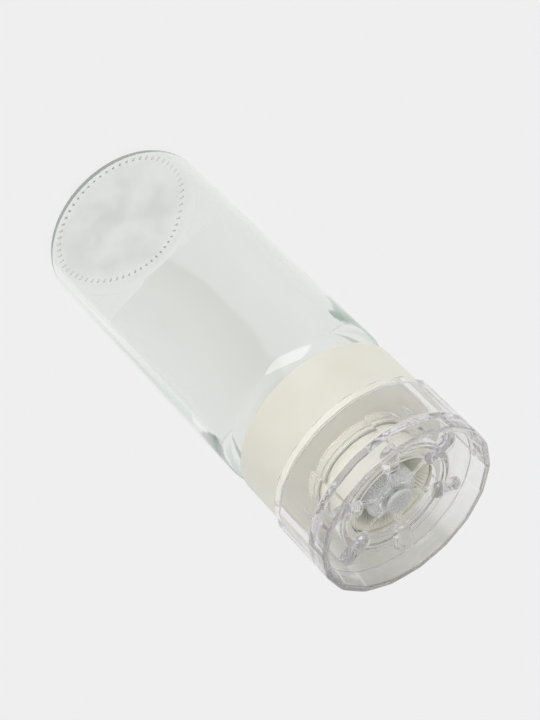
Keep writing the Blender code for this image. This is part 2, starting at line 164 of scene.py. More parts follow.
# The photograph's view
CAMERA_PLACE = Vector((0.0, -0.42618, 0.379671))
CAMERA_TARGET = Vector((-0.001967, 0.0, 0.07088))
CAMERA_ROLL = math.radians(135.2212)
CAMERA_LENS = 100.0
CAMERA_SENSOR = 36.0

# Corners of the two softboxes: azimuth and elevation in degrees
KEY_BOX = ((-80.3, 4.0), (-99.8, -14.2), (-144.9, 14.0), (-133.3, 47.2))
SIDE_BOX = ((32.0, -46.0), (52.0, -46.0), (52.0, -22.0), (32.0, -22.0))
SOFTBOX_EDGE = 0.008

# From the front of the studio to its back
BACKWARDS = (-0.2, 0.98, 0.0)
WHITE = (1.0, 1.0, 1.0)


def length(name, description, default):
    """A length in metres for the panel."""
    return FloatProperty(name=name, description=description, default=default, min=0.0,
                         unit='LENGTH', precision=5)


def turn(name, description, degrees):
    """An angle for the panel, given in degrees."""
    return FloatProperty(name=name, description=description, default=math.radians(degrees),
                         unit='ROTATION')


def amount(name, description, default, top=1000.0):
    """A plain number for the panel."""
    return FloatProperty(name=name, description=description, default=default, min=0.0, max=top)


def count(name, description, default):
    """How many of something, for the panel."""
    return IntProperty(name=name, description=description, default=default, min=1)


def tone(name, description, default):
    """A colour for the panel."""
    return FloatVectorProperty(name=name, description=description, default=default, size=3,
                               min=0.0, max=1.0, subtype='COLOR')


class JarSettings(PropertyGroup):
    wall: length("Wall", "Thickness of the glass at the side", 0.0020)
    floor_thickness: length("Floor", "Thickness of the glass at the foot of the inside wall", 0.0018)
    push_up: length("Push-up", "How far the middle of the base stands above its bearing ring", 0.0020)
    heel: length("Heel", "Radius between the base and the side", 0.0036)
    bearing: length("Bearing ring", "Width of the flat ring that the jar stands on", 0.0019)
    inner_heel: length("Inner heel", "Radius between the inside floor and wall", 0.0016)
    shoulder: length("Shoulder", "Radius between the side and the neck", 0.0068)
    neck_height: length("Neck height", "From the shoulder to the mouth", 0.0147)
    neck_wall: length("Neck wall", "Thickness of the glass at the neck", 0.0020)
    cove: length("Cove", "Small radius at the root of the neck", 0.0008)
    inner_corner: length("Inner corner", "Radius where the inside of the shoulder meets the bore", 0.0015)
    inner_shoulder: length("Inner shoulder", "Radius inside the shoulder", 0.0042)
    wedge_foot: length("Wedge foot", "How far under the shoulder the glass begins to thicken", 0.0220)
    wedge_reach: length("Wedge reach", "How much thicker the glass is under the shoulder", 0.0010)
    mouth_round: length("Mouth round", "Radius of the mouth's edges", 0.0006)
    dashes: count("Dashes", "Short radial grooves in the bearing ring", 60)
    dash_depth: length("Dash depth", "Depth of a groove in the bearing ring", 0.00042)
    dash_share: amount("Dash share", "Half the width of a groove over the step between grooves", 0.16, 0.5)
    dash_ease: length("Dash ease", "How far the grooves' ends run out", 0.0003)
    wobble: length("Wobble", "How far the inside wall wanders from a true cylinder", 0.00030)
    thread_height: length("Thread height", "How far the thread stands out of the neck", 0.0015)
    thread_base: length("Thread base", "Width of the thread at its root", 0.0016)
    thread_rise: length("Thread start", "Height of the thread's start over the shoulder", 0.0055)
    clear: tone("Clear", "What the skin of the glass lets through", (0.964, 0.966, 0.957))
    # The grooves' darker colour is partly the matt glass and partly painted shade in the grooves
    matt_knurl_and_shade: tone("Knurl", "What the matt grooves in the base let through", (0.52, 0.55, 0.53))
    knurl_roughness: amount("Knurl roughness", "Roughness of those grooves", 0.35, 1.0)
    tint: tone("Glass tint", "What a short depth of the glass lets through", (0.62, 0.74, 0.67))
    # Painted shade: the glass's outline is painted darker near the shoulder, darkest towards +X, and a
    # little darker elsewhere
    painted_edge_shade: tone("Edge tint", "What the glass's outline lets through near the shoulder",
                    (0.15, 0.27, 0.18))
    painted_deep_edge_shade: tone("Deep edge tint", "What that outline lets through on the side towards +X",
                    (0.04, 0.09, 0.055))
    painted_far_edge_shade: tone("Far edge tint", "What the rest of the glass's outline lets through", (0.66, 0.72, 0.68))
    edge_height: length("Edge height", "Where the dark part of the outline is widest", 0.0850)
    edge_reach: length("Edge reach", "How far the dark part goes from there", 0.0135)
    density: amount("Glass density", "How fast the glass darkens with depth, per metre", 22.0)


class CollarSettings(PropertyGroup):
    sleeve_wall: length("Sleeve wall", "Thickness of the outer sleeve", 0.0015)
    edge: length("Edge", "Radius of the sleeve's and the spigot's outer edges", 0.0004)
    deck: length("Deck", "Thickness of the flat deck", 0.0015)
    skirt_bore: length("Thread bore", "Radius inside the threaded skirt", 0.0193)
    skirt_wall: length("Skirt wall", "Thickness of the threaded skirt", 0.0023)
    skirt_rise: length("Skirt rise", "Height of the skirt's foot over the shoulder", 0.0027)
    spigot_height: length("Spigot height", "How far the spigot stands over the deck", 0.0124)
    spigot_wall: length("Spigot wall", "Thickness of the spigot", 0.0018)
    seat: length("Burr seat clearance", "Space round the fixed burr", 0.0003)
    ledge_rise: length("Ledge rise", "Height of the burr's ledge over the deck", 0.0027)
    ledge_width: length("Ledge width", "How far the ledge reaches inwards", 0.0019)
    ledge_thickness: length("Ledge thickness", "Thickness of the ledge", 0.0010)
    groove_depth: length("Groove depth", "Depth of the retaining ring's groove", 0.0010)
    set_travel: length("Setting travel", "How far the ring slides between fine and coarse", 0.00125)
    detent: length("Detent", "Height and half width of the bump between the two settings", 0.0003)
    thread_height: length("Thread height", "How far the thread stands into the bore", 0.0014)
    thread_base: length("Thread base", "Width of the thread at its root", 0.0014)
    cream: tone("Cream", "Colour of the plastic", (0.835, 0.822, 0.725))
    cream_shade: tone("Cream in the shade of its mottling", "Second colour of the plastic",
                      (0.795, 0.775, 0.675))


class ThreadSettings(PropertyGroup):
    pitch: length("Pitch", "Height of one turn of the thread", 0.0040)
    turns: amount("Turns", "How often the thread goes round", 1.25)
    tip_share: amount("Tip share", "Width of the crest over the width of the root", 0.4, 1.0)
    fade_share: amount("Fade share", "Share of the thread in which each end fades out", 0.06, 0.5)
    start: turn("Start", "Where the thread starts", 3.75)


class BurrSettings(PropertyGroup):
    ring_teeth: count("Ring teeth", "Teeth in the fixed burr", 66)
    ring_tooth: length("Ring tooth depth", "Depth of a tooth of the fixed burr", 0.0006)
    ring_slant: turn("Ring slant", "How far the outlet teeth turn on their way down", 9.0)
    outlet_lip: length("Outlet lip", "Width of the burr's upper edge", 0.0005)
    inlet_lip: length("Inlet lip", "Width of the burr's lower edge", 0.0018)
    throat_rise: length("Throat rise", "Height of the throat over the burr's foot", 0.0029)
    throat_land: length("Throat land", "Height of the straight part of the throat", 0.0010)
    gap: length("Grinding gap", "Space between the two burrs", 0.0005)
    cone_teeth: count("Cone teeth", "Fine teeth of the cone", 72)
    cone_tooth: length("Cone tooth depth", "Depth of a fine tooth of the cone", 0.0006)
    face_radius: length("Face radius", "Radius of the cone's toothed bevel at its inner end", 0.0050)
    face_drop: length("Face drop", "How far the bevel falls towards the rim", 0.0005)
    bore: length("Bore", "Radius of the hole for the spindle", 0.0020)
    tail: length("Tail radius", "Radius of the cone's lower end", 0.0032)
    ridges: count("Ridges", "Coarse ridges of the cone's tail", 8)
    ridge_depth: length("Ridge depth", "Depth between the coarse ridges", 0.0009)
    ridge_twist: turn("Ridge twist", "How far the ridges turn along the tail", 50.0)
    ring_cream: tone("Ring cream", "Colour of the fixed burr", (0.89, 0.87, 0.76))
    cone_clear: tone("Cone clear", "Colour of the turning burr", (0.93, 0.94, 0.93))


class HeadSettings(PropertyGroup):
    flats: count("Flats", "Flat sides of the head", 18)
    flat_turn: turn("Flat turn", "Where one of the corners stands", 11.5)
    corner: length("Corner round", "Radius of the soft corners between the flats", 0.0014)
    play: length("Play", "Space between the lip and the collar", 0.00035)
    wall: length("Wall", "Thickness of the skirt", 0.0015)
    flat_share: amount("Flat share", "How much of the outer flats the rim and the recess follow", 0.7, 1.0)
    lip_wall: length("Lip wall", "Thickness of the lip over the collar", 0.00055)
    lip_height: length("Lip height", "Height of the thin lip", 0.0020)
    rim_wall: length("Rim wall", "Thickness of the front rim", 0.0017)
    rim_edge: length("Rim edge", "Radius of the rim's edges", 0.0006)
    rim_rise: length("Rim rise", "Height of the rim over the web", 0.00515)
    recess_wall: length("Recess wall", "Thickness of the wall at the foot of the recess", 0.0024)
    web: length("Web", "Thickness of the web", 0.00165)
    tube_bore: length("Tube bore", "Radius inside the running tube", 0.01505)
    tube_wall: length("Tube wall", "Thickness of the running tube", 0.00155)
    tube_foot: length("Tube foot", "Space between the tube and the deck", 0.0007)
    step: length("Step", "Height of the step ring on the web", 0.0006)
    opening: length("Opening", "Radius of the opening that the spice falls from", 0.0124)
    lugs: count("Lugs", "Domed lugs on the web", 6)
    lug_turn: turn("Lug turn", "Where one of the lugs stands", 10.3)
    lug_inner: length("Lug reach in", "Radius of the lugs' inner ends", 0.0113)
    lug_outer: length("Lug reach out", "Radius of the lugs' outer ends", 0.0215)
    lug_wide: length("Lug width out", "Half width of a lug at its outer end", 0.0030)
    lug_narrow: length("Lug width in", "Half width of a lug at its inner end", 0.0026)
    lug_height: length("Lug height", "Height of a lug over the web", 0.0026)
    lug_bend: turn("Lug bend", "Bend at the foot of a lug's dome", 8.0)
    lug_top: turn("Lug top", "Bend of a lug's dome where its last flat begins", 86.0)
    lug_fall: amount("Lug fall", "Share of its height that a lug loses towards its inner end", 0.15, 1.0)
    spoke_width: length("Spoke width", "Width of the arms to the hub", 0.0024)
    spoke_depth: length("Spoke depth", "Depth of the arms to the hub", 0.0007)
    spoke_rise: length("Spoke rise", "Height of the arms over the web's underside", 0.0007)
    hub: length("Hub", "Radius of the hub", 0.0045)
    hub_bore: length("Hub bore", "Radius of the hub's hole", 0.0020)
    hub_proud: length("Hub proud", "How far the hub stands out of the spokes", 0.0001)
    clear: tone("Clear", "What the skin of the clear plastic lets through", (0.995, 0.994, 0.996))
    tint: tone("Clear tint", "What a short depth of the clear plastic lets through", (0.55, 0.51, 0.58))
    # Painted shade on the rim's face, and towards +X on the rim's sides
    rim_painted_shade: tone("Rim tone", "What the skin on the rim's face lets through", (0.50, 0.47, 0.49))
    density: amount("Clear density", "How fast the plastic darkens with depth, per metre", 14.0)
    haze: amount("Haze", "Roughness in the haziest spots of the clear plastic", 0.03, 1.0)


class SmallPartSettings(PropertyGroup):
    pin: length("Pin", "Radius of the spindle", 0.0017)
    pin_groove: length("Pin groove", "Radius in the clip's groove", 0.0012)
    pin_head_height: length("Pin head", "Thickness of the spindle's head", 0.0008)
    clip_gap: turn("Clip gap", "Width of the clip's gap", 70.0)
    ring_gap: turn("Ring gap", "Width of the retaining ring's gap", 24.0)
    ring_bore: length("Ring bore", "Radius inside the retaining ring", 0.0143)
    fillet: length("Fillet", "Radius of the small parts' edges", 0.0002)
    seal_round: length("Seal round", "Radius of the seal's edges", 0.0004)
    off_white: tone("Off-white", "Colour of the ring and the clip", (0.80, 0.79, 0.73))
    pin_clear: tone("Pin clear", "Colour of the spindle", (0.82, 0.83, 0.81))
    foam: tone("Foam", "Colour of the seal", (0.72, 0.71, 0.66))


class StudioSettings(PropertyGroup):
    floor_reach: length("Floor reach", "Radius of the floor", 3.0)
    floor_tone: tone("Floor", "Colour of the floor", (0.15, 0.15, 0.15))
    floor_glow: amount("Floor glow", "Light that the floor gives off by itself", 0.776)
    # Painted shadow under the jar, in cloudy patches
    floor_painted_shadow: amount("Floor shade", "How much darker the floor is under the jar", 0.17, 1.0)
    backdrop: amount("Backdrop", "Brightness of what is seen behind the floor", 0.863)
    overhead: amount("Overhead", "Brightness of the light from above", 0.56)
    front_fill: amount("Front fill", "Extra brightness of the room in front of the jar", 0.42)
    zenith: amount("Zenith", "Brightness straight above", 0.25)
    seen_through: amount("Seen through", "Extra brightness of the room seen through glass", 0.25)
    lit_through: amount("Lit through", "Extra light from the front on what stands behind glass", 3.1)
    behind_share: amount("Behind share", "Share of the other light that reaches it", 0.72, 1.0)
    key_share: amount("Key share", "Share of the softbox that lights the parts", 0.20, 1.0)
    front_low: amount("Low front", "Brightness of what the front of the glass mirrors", 0.36)
    back_low: amount("Low back", "Brightness of what the back of the glass mirrors", 0.85)
    key_light: amount("Key light", "Brightness of the softbox at the shoulder", 3.4)
    card_away: length("Card distance", "From the jar's axis to the card behind it", 0.0275)
    # Painted shadow on the card: behind the jar, along the jar's contact line and behind the grinder
    card_shade: amount("Card shade", "How much darker the card is behind the jar", 0.06, 1.0)
    card_contact_shadow: amount("Card band", "How much darker the card's middle is", 0.09, 1.0)
    card_head_shadow: amount("Card shade at the head", "How much darker the card is behind the grinder", 0.46, 1.0)
    card_tone: tone("Card tone", "Colour towards which the card's shade goes", (1.0, 1.0, 0.8))
    side_light: amount("Side light", "Brightness of the softbox along the side", 0.25)


def rounded_outline(corners, arc_steps, joined=True):
    """Outline points with a tangent arc at every corner.

    A corner is (radius, height, flatness, fillet). The arc's centre lies on the corner's bisector, the
    fillet over the sine of half the corner's angle away, and the arc's points turn evenly from one
    tangent point to the other. An outline that isn't joined keeps its two end corners as they are. The
    last column is 1 for a point that an arc's next point follows, and 0 for one that a side follows.
    """
    table = np.array(corners, float)
    place, flatness, fillet = table[:, :2], table[:, 2], table[:, 3:]
    to_last = np.roll(place, 1, axis=0) - place
    to_next = np.roll(place, -1, axis=0) - place
    to_last /= np.linalg.norm(to_last, axis=1, keepdims=True)
    to_next /= np.linalg.norm(to_next, axis=1, keepdims=True)
    half = np.arccos(np.clip((to_last * to_next).sum(axis=1, keepdims=True), -1, 1)) / 2
    bisector = to_last + to_next
    bisector /= np.linalg.norm(bisector, axis=1, keepdims=True)
    to_centre = bisector * fillet / np.sin(half)
    run = fillet / np.tan(half)
    sweep = np.pi - 2 * half
    share = np.linspace(0, 1, arc_steps + 1)
    last_weight = (np.sin((1 - share) * sweep) / np.sin(sweep))[..., None]
    next_weight = (np.sin(share * sweep) / np.sin(sweep))[..., None]
    spoke_last = (to_last * run - to_centre)[:, None]
    spoke_next = (to_next * run - to_centre)[:, None]
    arcs = (place + to_centre)[:, None] + last_weight * spoke_last + next_weight * spoke_next
    in_arc = np.tile(share < 1, len(table))
    points = np.column_stack((arcs.reshape(-1, 2), np.repeat(flatness, arc_steps + 1), in_arc))
    if joined:
        return points
    each = arc_steps + 1
    first, last = np.append(table[0, :3], 0), np.append(table[-1, :3], 0)
    return np.vstack((first, points[each:-each], last))


def fill_sides(outline, spacing, joined=True):
    """More points along the outline's sides, at even shares of each side.

    The first and the last of them lie close to the side's ends, so that a flat side is shaded flat.
    Arcs stay as they are. spacing is the largest step, or a function that gives it for a side's middle.
    The flatness goes evenly from one end of a side to the other.
    """
    if joined:
        outline = np.vstack((outline, outline[:1]))
    side = np.linalg.norm(np.diff(outline[:, :2], axis=0), axis=1)
    middle = (outline[1:] + outline[:-1]) / 2
    step = spacing(middle[:, 0], middle[:, 1]) if callable(spacing) else spacing
    straight = (side > 6 * EDGE_STEP) & (outline[:-1, 3] == 0)
    number = np.where(straight, np.ceil(side / step).astype(int) + 2, 1)
    which = np.repeat(np.arange(len(side)), number)
    place = np.arange(number.sum()) - np.repeat(np.cumsum(number) - number, number)
    edge = EDGE_STEP / np.maximum(side, EDGE_STEP)[which]
    inner = edge + (1 - 2 * edge) * (place - 1) / np.maximum(number[which] - 2, 1)
    share = np.where(place == 0, 0, inner)[:, None]
    filled = outline[which] * (1 - share) + outline[which + 1] * share
    return filled[:, :3] if joined else np.vstack((filled, outline[-1:]))[:, :3]


def even_angles(number):
    """Angles at even steps round the axis."""
    return np.arange(number) * math.tau / number


def lathe_points(radius, height, angle):
    """Points of a turned grid: radius times the cosine and sine of the angle, at the height."""
    radius, height, angle = np.broadcast_arrays(radius, height, angle)
    return np.stack((radius * np.cos(angle), radius * np.sin(angle), height), axis=-1)


def facet_factor(angle, flats, first_corner, round_share):
    """Radius of a many-sided outline over its apothem, with round corners.

    On a flat it is one over the cosine of the angle from the flat's middle. Near a corner it is the far
    crossing of the ray with a circle that touches both flats.
    """
    half = math.pi / flats
    off = np.abs((angle - first_corner + half) % (2 * half) - half)
    centre = (1 - round_share) / math.cos(half)
    tangent = math.atan2(round_share * math.sin(half), centre + round_share * math.cos(half))
    on_circle = centre * np.cos(off) + np.sqrt(
        np.maximum(round_share ** 2 - (centre * np.sin(off)) ** 2, 0))
    return np.where(off < tangent, on_circle, 1 / np.cos(half - off))


def ramp(value, low, high):
    """A smooth step from 0 at low to 1 at high: three squares less two cubes of the share between."""
    share = np.clip((value - low) / (high - low), 0, 1)
    return share * share * (3 - 2 * share)


def thread_swell(angle, height, start_height, base, thread):
    """How far a helical ridge stands out, from 0 to 1.

    The ridge's middle climbs one pitch a turn. Across it the swell is a smooth step from the root's edge
    to the crest's, and along it the swell fades at both ends.
    """
    pass_number = np.arange(math.ceil(thread.turns))[:, None, None]
    turns = ((angle - thread.start) % math.tau) / math.tau + pass_number
    away = np.abs(height - start_height - thread.pitch * turns)
    across = 1 - ramp(away, base / 2 * thread.tip_share, base / 2)
    along = turns / thread.turns
    fade = ramp(np.minimum(along, 1 - along), 0, thread.fade_share)
    return (across * fade).max(axis=0)


def build_piece(name, points, joined):
    """One closed mesh from a grid of points whose rows are closed loops.

    Faces join each row to the next. The last row joins the first, or both end rows close on their
    middle points. The faces are turned over if the volume under them, the sum of each triangle's triple
    product, is negative.
    """
    rows, columns = points.shape[:2]
    index = np.arange(rows * columns).reshape(rows, columns)
    lower = index if joined else index[:-1]
    upper = np.roll(index, -1, axis=0) if joined else index[1:]
    lower_next, upper_next = np.roll(lower, -1, axis=1), np.roll(upper, -1, axis=1)
    quads = np.stack((lower, lower_next, upper_next, upper), axis=-1).reshape(-1, 4)
    places = points.reshape(-1, 3)
    fans = np.empty((0, 3), int)
    if not joined:
        first, last = index[0], index[-1]
        pole = rows * columns
        places = np.vstack((places, points[0].mean(axis=0), points[-1].mean(axis=0)))
        fans = np.vstack((
            np.column_stack((np.roll(first, -1), first, np.full(columns, pole))),
            np.column_stack((last, np.roll(last, -1), np.full(columns, pole + 1)))))
    triangles = np.vstack((quads[:, :3], quads[:, (0, 2, 3)], fans))
    a, b, c = (places[triangles[:, corner]] for corner in range(3))
    if (np.cross(a, b) * c).sum() < 0:
        quads, fans = quads[:, ::-1], fans[:, ::-1]
    mesh = bpy.data.meshes.new(name)
    mesh.from_pydata(places.tolist(), [], quads.tolist() + fans.tolist())
    mesh.shade_smooth()
    mesh.set_sharp_from_angle(angle=CREASE)
    piece = bpy.data.objects.new(name, mesh)
    bpy.context.scene.collection.objects.link(piece)
    return piece


def join_solids(piece, tools):
    """Unions closed solids with a piece, keeps the result as its mesh and removes the tools."""
    for tool in tools:
        joint = piece.modifiers.new(tool.name, 'BOOLEAN')
        joint.operation = 'UNION'
        joint.solver = 'MANIFOLD'
        joint.object = tool
    joined = piece.evaluated_get(bpy.context.evaluated_depsgraph_get())
    mesh = bpy.data.meshes.new_from_object(joined)
    piece.modifiers.clear()
    piece.data = mesh
    mesh.shade_smooth()
    mesh.set_sharp_from_angle(angle=CREASE)
    for tool in tools:
        bpy.data.objects.remove(tool, do_unlink=True)


def turned_piece(name, outline, columns, joined=True):
    """A round piece: its outline turned about the axis at even angles."""
    points = lathe_points(outline[:, :1], outline[:, 1:2], even_angles(columns)[None])
    return build_piece(name, points, joined)


def ring_corners(inner, outer, low, high, fillet):
    """The four corners of a ring's section, with one fillet."""
    return [(inner, low, 0, fillet), (outer, low, 0, fillet), (outer, high, 0, fillet),
            (inner, high, 0, fillet)]


def split_ring(name, corners, gap, columns):
    """A ring with a gap: its section is turned from one side of the gap to the other."""
    outline = rounded_outline(corners, PLAIN_ARC)
    angle = np.linspace(gap / 2, math.tau - gap / 2, columns)[:, None]
    points = lathe_points(outline[None, :, 0], outline[None, :, 1], angle)
    return build_piece(name, points, joined=False)


def spun(along, across, level, spin):
    """Points of a grid that is laid out along +X and then turned about the axis."""
    return np.stack((along * math.cos(spin) - across * math.sin(spin),
                     along * math.sin(spin) + across * math.cos(spin), level), axis=-1)


def darker(colour, share):
    """A colour with every part times a share."""
    return tuple(share * part for part in colour)


def dress(piece, material, body, slot, *nodes):
    """Gives a piece its material and its body, and hides the nodes that it stands for. The slot is not
    used.
    """
    piece.data.materials.clear()
    piece.data.materials.append(material)
    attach(piece, body)
    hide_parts(*nodes)


def add_node(tree, kind, inputs=None, **settings):
    """A shader node with its settings; an input takes a value or another node's output."""
    made = tree.nodes.new(kind)
    for name, value in settings.items():
        setattr(made, name, value)
    for name, value in (inputs or {}).items():
        if isinstance(value, bpy.types.NodeSocket):
            tree.links.new(value, made.inputs[name])
        else:
            made.inputs[name].default_value = value
    return made


def new_material(name):
    """A material with only a Principled shader, which is handed back with its node tree."""
    material = bpy.data.materials.new(name)
    material.use_nodes = True
    tree = material.node_tree
    return material, tree, tree.nodes["Principled BSDF"]


def calculate(tree, operation, *values):
    """The result of a Math node for values in their order; each is a number or an output."""
    return add_node(tree, 'ShaderNodeMath', dict(enumerate(values)), operation=operation).outputs[0]


def multiply(tree, *values):
    """The product of some values."""
    product = values[0]
    for value in values[1:]:
        product = calculate(tree, 'MULTIPLY', product, value)
    return product


def own_place(tree):
    """The piece's own coordinates."""
    return add_node(tree, 'ShaderNodeTexCoord').outputs["Object"]


def parts_of(tree, vector):
    """The three parts of a vector, by the names X, Y and Z."""
    return add_node(tree, 'ShaderNodeSeparateXYZ', {"Vector": vector}).outputs


def length_of(tree, vector):
    """The length of a vector."""
    return add_node(tree, 'ShaderNodeVectorMath', {0: vector}, operation='LENGTH').outputs["Value"]


def dot(tree, vector, other):
    """The dot product of two vectors."""
    return add_node(tree, 'ShaderNodeVectorMath', {0: vector, 1: other},
                    operation='DOT_PRODUCT').outputs["Value"]


def noise(tree, scale, detail=3.0, stretch=(1.0, 1.0, 1.0)):
    """Noise on the piece's own coordinates, stretched along an axis if asked."""
    spread = add_node(tree, 'ShaderNodeMapping', {"Vector": own_place(tree), "Scale": stretch})
    made = add_node(tree, 'ShaderNodeTexNoise', {
        "Vector": spread.outputs["Vector"], "Scale": scale, "Detail": detail, "Roughness": 0.5})
    return made.outputs["Fac"]


def spread_range(tree, value, low, high, to_low, to_high):
    """A value carried from one range to another and kept inside it."""
    made = add_node(tree, 'ShaderNodeMapRange', {
        "Value": value, "From Min": low, "From Max": high, "To Min": to_low, "To Max": to_high})
    return made.outputs["Result"]


def spread_noise(tree, value, to_low, to_high):
    """Noise carried to a range, which most of it fills."""
    return spread_range(tree, value, NOISE_LOW, NOISE_HIGH, to_low, to_high)


def add_bump(tree, shader, height, distance):
    """Bump from a height on the shader's normal."""
    bump = add_node(tree, 'ShaderNodeBump', {"Height": height, "Distance": distance, "Strength": 1.0})
    tree.links.new(bump.outputs["Normal"], shader.inputs["Normal"])


def blend_tones(tree, share, first, second):
    """A colour between two, by a share; each is a colour or another node's output."""
    first, second = (colour if isinstance(colour, bpy.types.NodeSocket) else (*colour, 1.0)
                     for colour in (first, second))
    return add_node(tree, 'ShaderNodeMix', {0: share, 6: first, 7: second}, data_type='RGBA').outputs[2]


def clear_material(name, plastic, ior, wave):
    """Clear glass or plastic that tints with depth, with a slightly wavy skin.

    plastic has the skin's colour, the depth's tint and its density; wave is the depth of the bump.
    Light on its way to what stands behind the skin goes straight through it, and so does light that was
    thrown back and forth inside for long.
    """
    material, tree, shader = new_material(name)
    shader.inputs["Base Color"].default_value = (*plastic.clear, 1.0)
    shader.inputs["Transmission Weight"].default_value = 1.0
    shader.inputs["IOR"].default_value = ior
    add_bump(tree, shader, noise(tree, WAVE_SCALE, detail=2.0, stretch=(1.0, 1.0, 0.5)), wave)
    path = add_node(tree, 'ShaderNodeLightPath').outputs
    lighting = calculate(tree, 'MAXIMUM', path["Is Shadow Ray"], path["Is Diffuse Ray"])
    caught = spread_range(tree, path["Ray Depth"], CAUGHT_BOUNCES, CAUGHT_BOUNCES + 1, 0.0, 1.0)
    lighting = calculate(tree, 'MAXIMUM', lighting, caught)
    through = add_node(tree, 'ShaderNodeBsdfTransparent', {"Color": (*WHITE, 1.0)})
    skin = add_node(tree, 'ShaderNodeMixShader', {0: lighting, 1: shader.outputs[0], 2: through.outputs[0]})
    tree.links.new(skin.outputs[0], tree.nodes["Material Output"].inputs["Surface"])
    depth = add_node(tree, 'ShaderNodeVolumeAbsorption', {
        "Color": (*plastic.tint, 1.0), "Density": plastic.density})
    tree.links.new(depth.outputs["Volume"], tree.nodes["Material Output"].inputs["Volume"])
    return material, tree, shader


def glass_material(jar):
    """The jar's glass: clear, matt in the base's grooves, with painted shade at its outline near the
    shoulder.

    A place is in a groove where its distance from the axis is within the bearing ring and its height is
    a little above the ground, up to the grooves' depth; the grooves' darker colour is partly the matt glass
    and partly painted shade. The outline is painted darker where the skin turns away from the eye by more
    than a limit, which rises with the distance from the edge height; this painted shade is darkest towards
    +X.
    """
    material, tree, shader = clear_material("jar_glass", jar, GLASS_IOR, GLASS_WAVE)
    place = own_place(tree)
    flat = add_node(tree, 'ShaderNodeVectorMath', {0: place, 1: (1.0, 1.0, 0.0)}, operation='MULTIPLY')
    away = length_of(tree, flat.outputs[0])
    parts = parts_of(tree, place)
    outer = JAR_HIGH.x - jar.heel
    inner = outer - jar.bearing
    ease = jar.dash_ease / 3
    lift_start, lift_full, groove_end = 0.00004, 0.00016, 1.3 * jar.dash_depth
    groove = multiply(
        tree,
        spread_range(tree, away, inner + ease, inner + jar.dash_ease, 0.0, 1.0),
        spread_range(tree, away, outer - 4 * ease, outer - 2 * ease, 1.0, 0.0),
        spread_range(tree, parts["Z"], lift_start, lift_full, 0.0, 1.0),
        spread_range(tree, parts["Z"], jar.dash_depth, groove_end, 1.0, 0.0))
    matt = spread_range(tree, groove, 0.0, 1.0, 0.0, jar.knurl_roughness)
    tree.links.new(matt, shader.inputs["Roughness"])

    # Painted shade at the outline, where the skin turns away from the eye
    least_turned, most_turned, soft, fray = 0.60, 0.93, 0.05, 0.10
    from_edge = calculate(tree, 'ABSOLUTE', calculate(tree, 'SUBTRACT', parts["Z"], jar.edge_height))
    limit = spread_range(tree, from_edge, 0.0, jar.edge_reach, least_turned, most_turned)
    side = spread_range(tree, parts["X"], -JAR_HIGH.x / 2, JAR_HIGH.x / 2, 0.0, 1.0)
    shaded_near_colour = blend_tones(tree, side, jar.painted_edge_shade, jar.painted_deep_edge_shade)
    far = spread_range(tree, from_edge, 0.0, jar.edge_reach, 0.0, 1.0)
    shaded_edge_colour = blend_tones(tree, far, shaded_near_colour, jar.painted_far_edge_shade)
    frayed = spread_noise(tree, noise(tree, FRAY_SCALE, stretch=(1.0, 1.0, 0.6)), -fray, fray)
    facing = add_node(tree, 'ShaderNodeLayerWeight', {"Blend": 0.5}).outputs["Facing"]
    over = calculate(tree, 'SUBTRACT', calculate(tree, 'ADD', facing, frayed), limit)
    outline = spread_range(tree, over, 0.0, soft, 0.0, 1.0)
    # Darker in the grooves: partly the matt glass, partly painted shade
    colour = blend_tones(tree, groove, jar.clear, jar.matt_knurl_and_shade)
    tree.links.new(blend_tones(tree, outline, colour, shaded_edge_colour), shader.inputs["Base Color"])
    return material


def head_material(head):
    """The head's clear plastic, with faint haze in spots and painted shade on the rim.

    The rim's face, which stands highest, gets painted shade, more so towards +X. There the rim's sides get
    painted shade too, more with their height.
    """
    material, tree, shader = clear_material("head_clear", head, CLEAR_IOR, CLEAR_WAVE)
    spot_start, spot_full = 0.45, 0.75
    spots = spread_range(tree, noise(tree, HAZE_SCALE, detail=4.0), spot_start, spot_full, 0.0, head.haze)
    tree.links.new(spots, shader.inputs["Roughness"])
    parts = parts_of(tree, own_place(tree))
    top = HEAD_HIGH.z
    # Painted shade on the rim: its face, more towards +X, and there its sides with their height
    least_rim_shade, most_rim_shade, side_rim_shade, side_start = 0.1, 1.1, 0.6, 0.4
    face = spread_range(tree, parts["Z"], top - head.rim_edge, top - head.rim_edge / 2, 0.0, 1.0)
    across = spread_range(tree, parts["X"], HEAD_LOW.x, HEAD_HIGH.x, least_rim_shade, most_rim_shade)
    beside = spread_range(tree, parts["X"], side_start * HEAD_HIGH.x, HEAD_HIGH.x, 0.0, side_rim_shade)
    risen = spread_range(tree, parts["Z"], top - head.rim_rise, top, 0.0, 1.0)
    rim_shade_share = calculate(tree, 'MAXIMUM', multiply(tree, face, across), multiply(tree, beside, risen))
    tree.links.new(blend_tones(tree, rim_shade_share, head.clear, head.rim_painted_shade), shader.inputs["Base Color"])
    return material


def satin_material(name, colour, shade, finish):
    """Satin moulded plastic: two close tones in soft mottling, fine grain in roughness and bump."""
    material, tree, shader = new_material(name)
    smoothest, roughest, grain = finish
    shade_start, shade_full = 0.35, 0.65
    mottled = spread_range(tree, noise(tree, MOTTLING_SCALE), shade_start, shade_full, 0.0, 1.0)
    tree.links.new(blend_tones(tree, mottled, colour, shade), shader.inputs["Base Color"])
    fine = noise(tree, GRAIN_SCALE, detail=2.0)
    tree.links.new(spread_noise(tree, fine, smoothest, roughest), shader.inputs["Roughness"])
    shader.inputs["IOR"].default_value = SATIN_IOR
    add_bump(tree, shader, fine, grain)
    return material


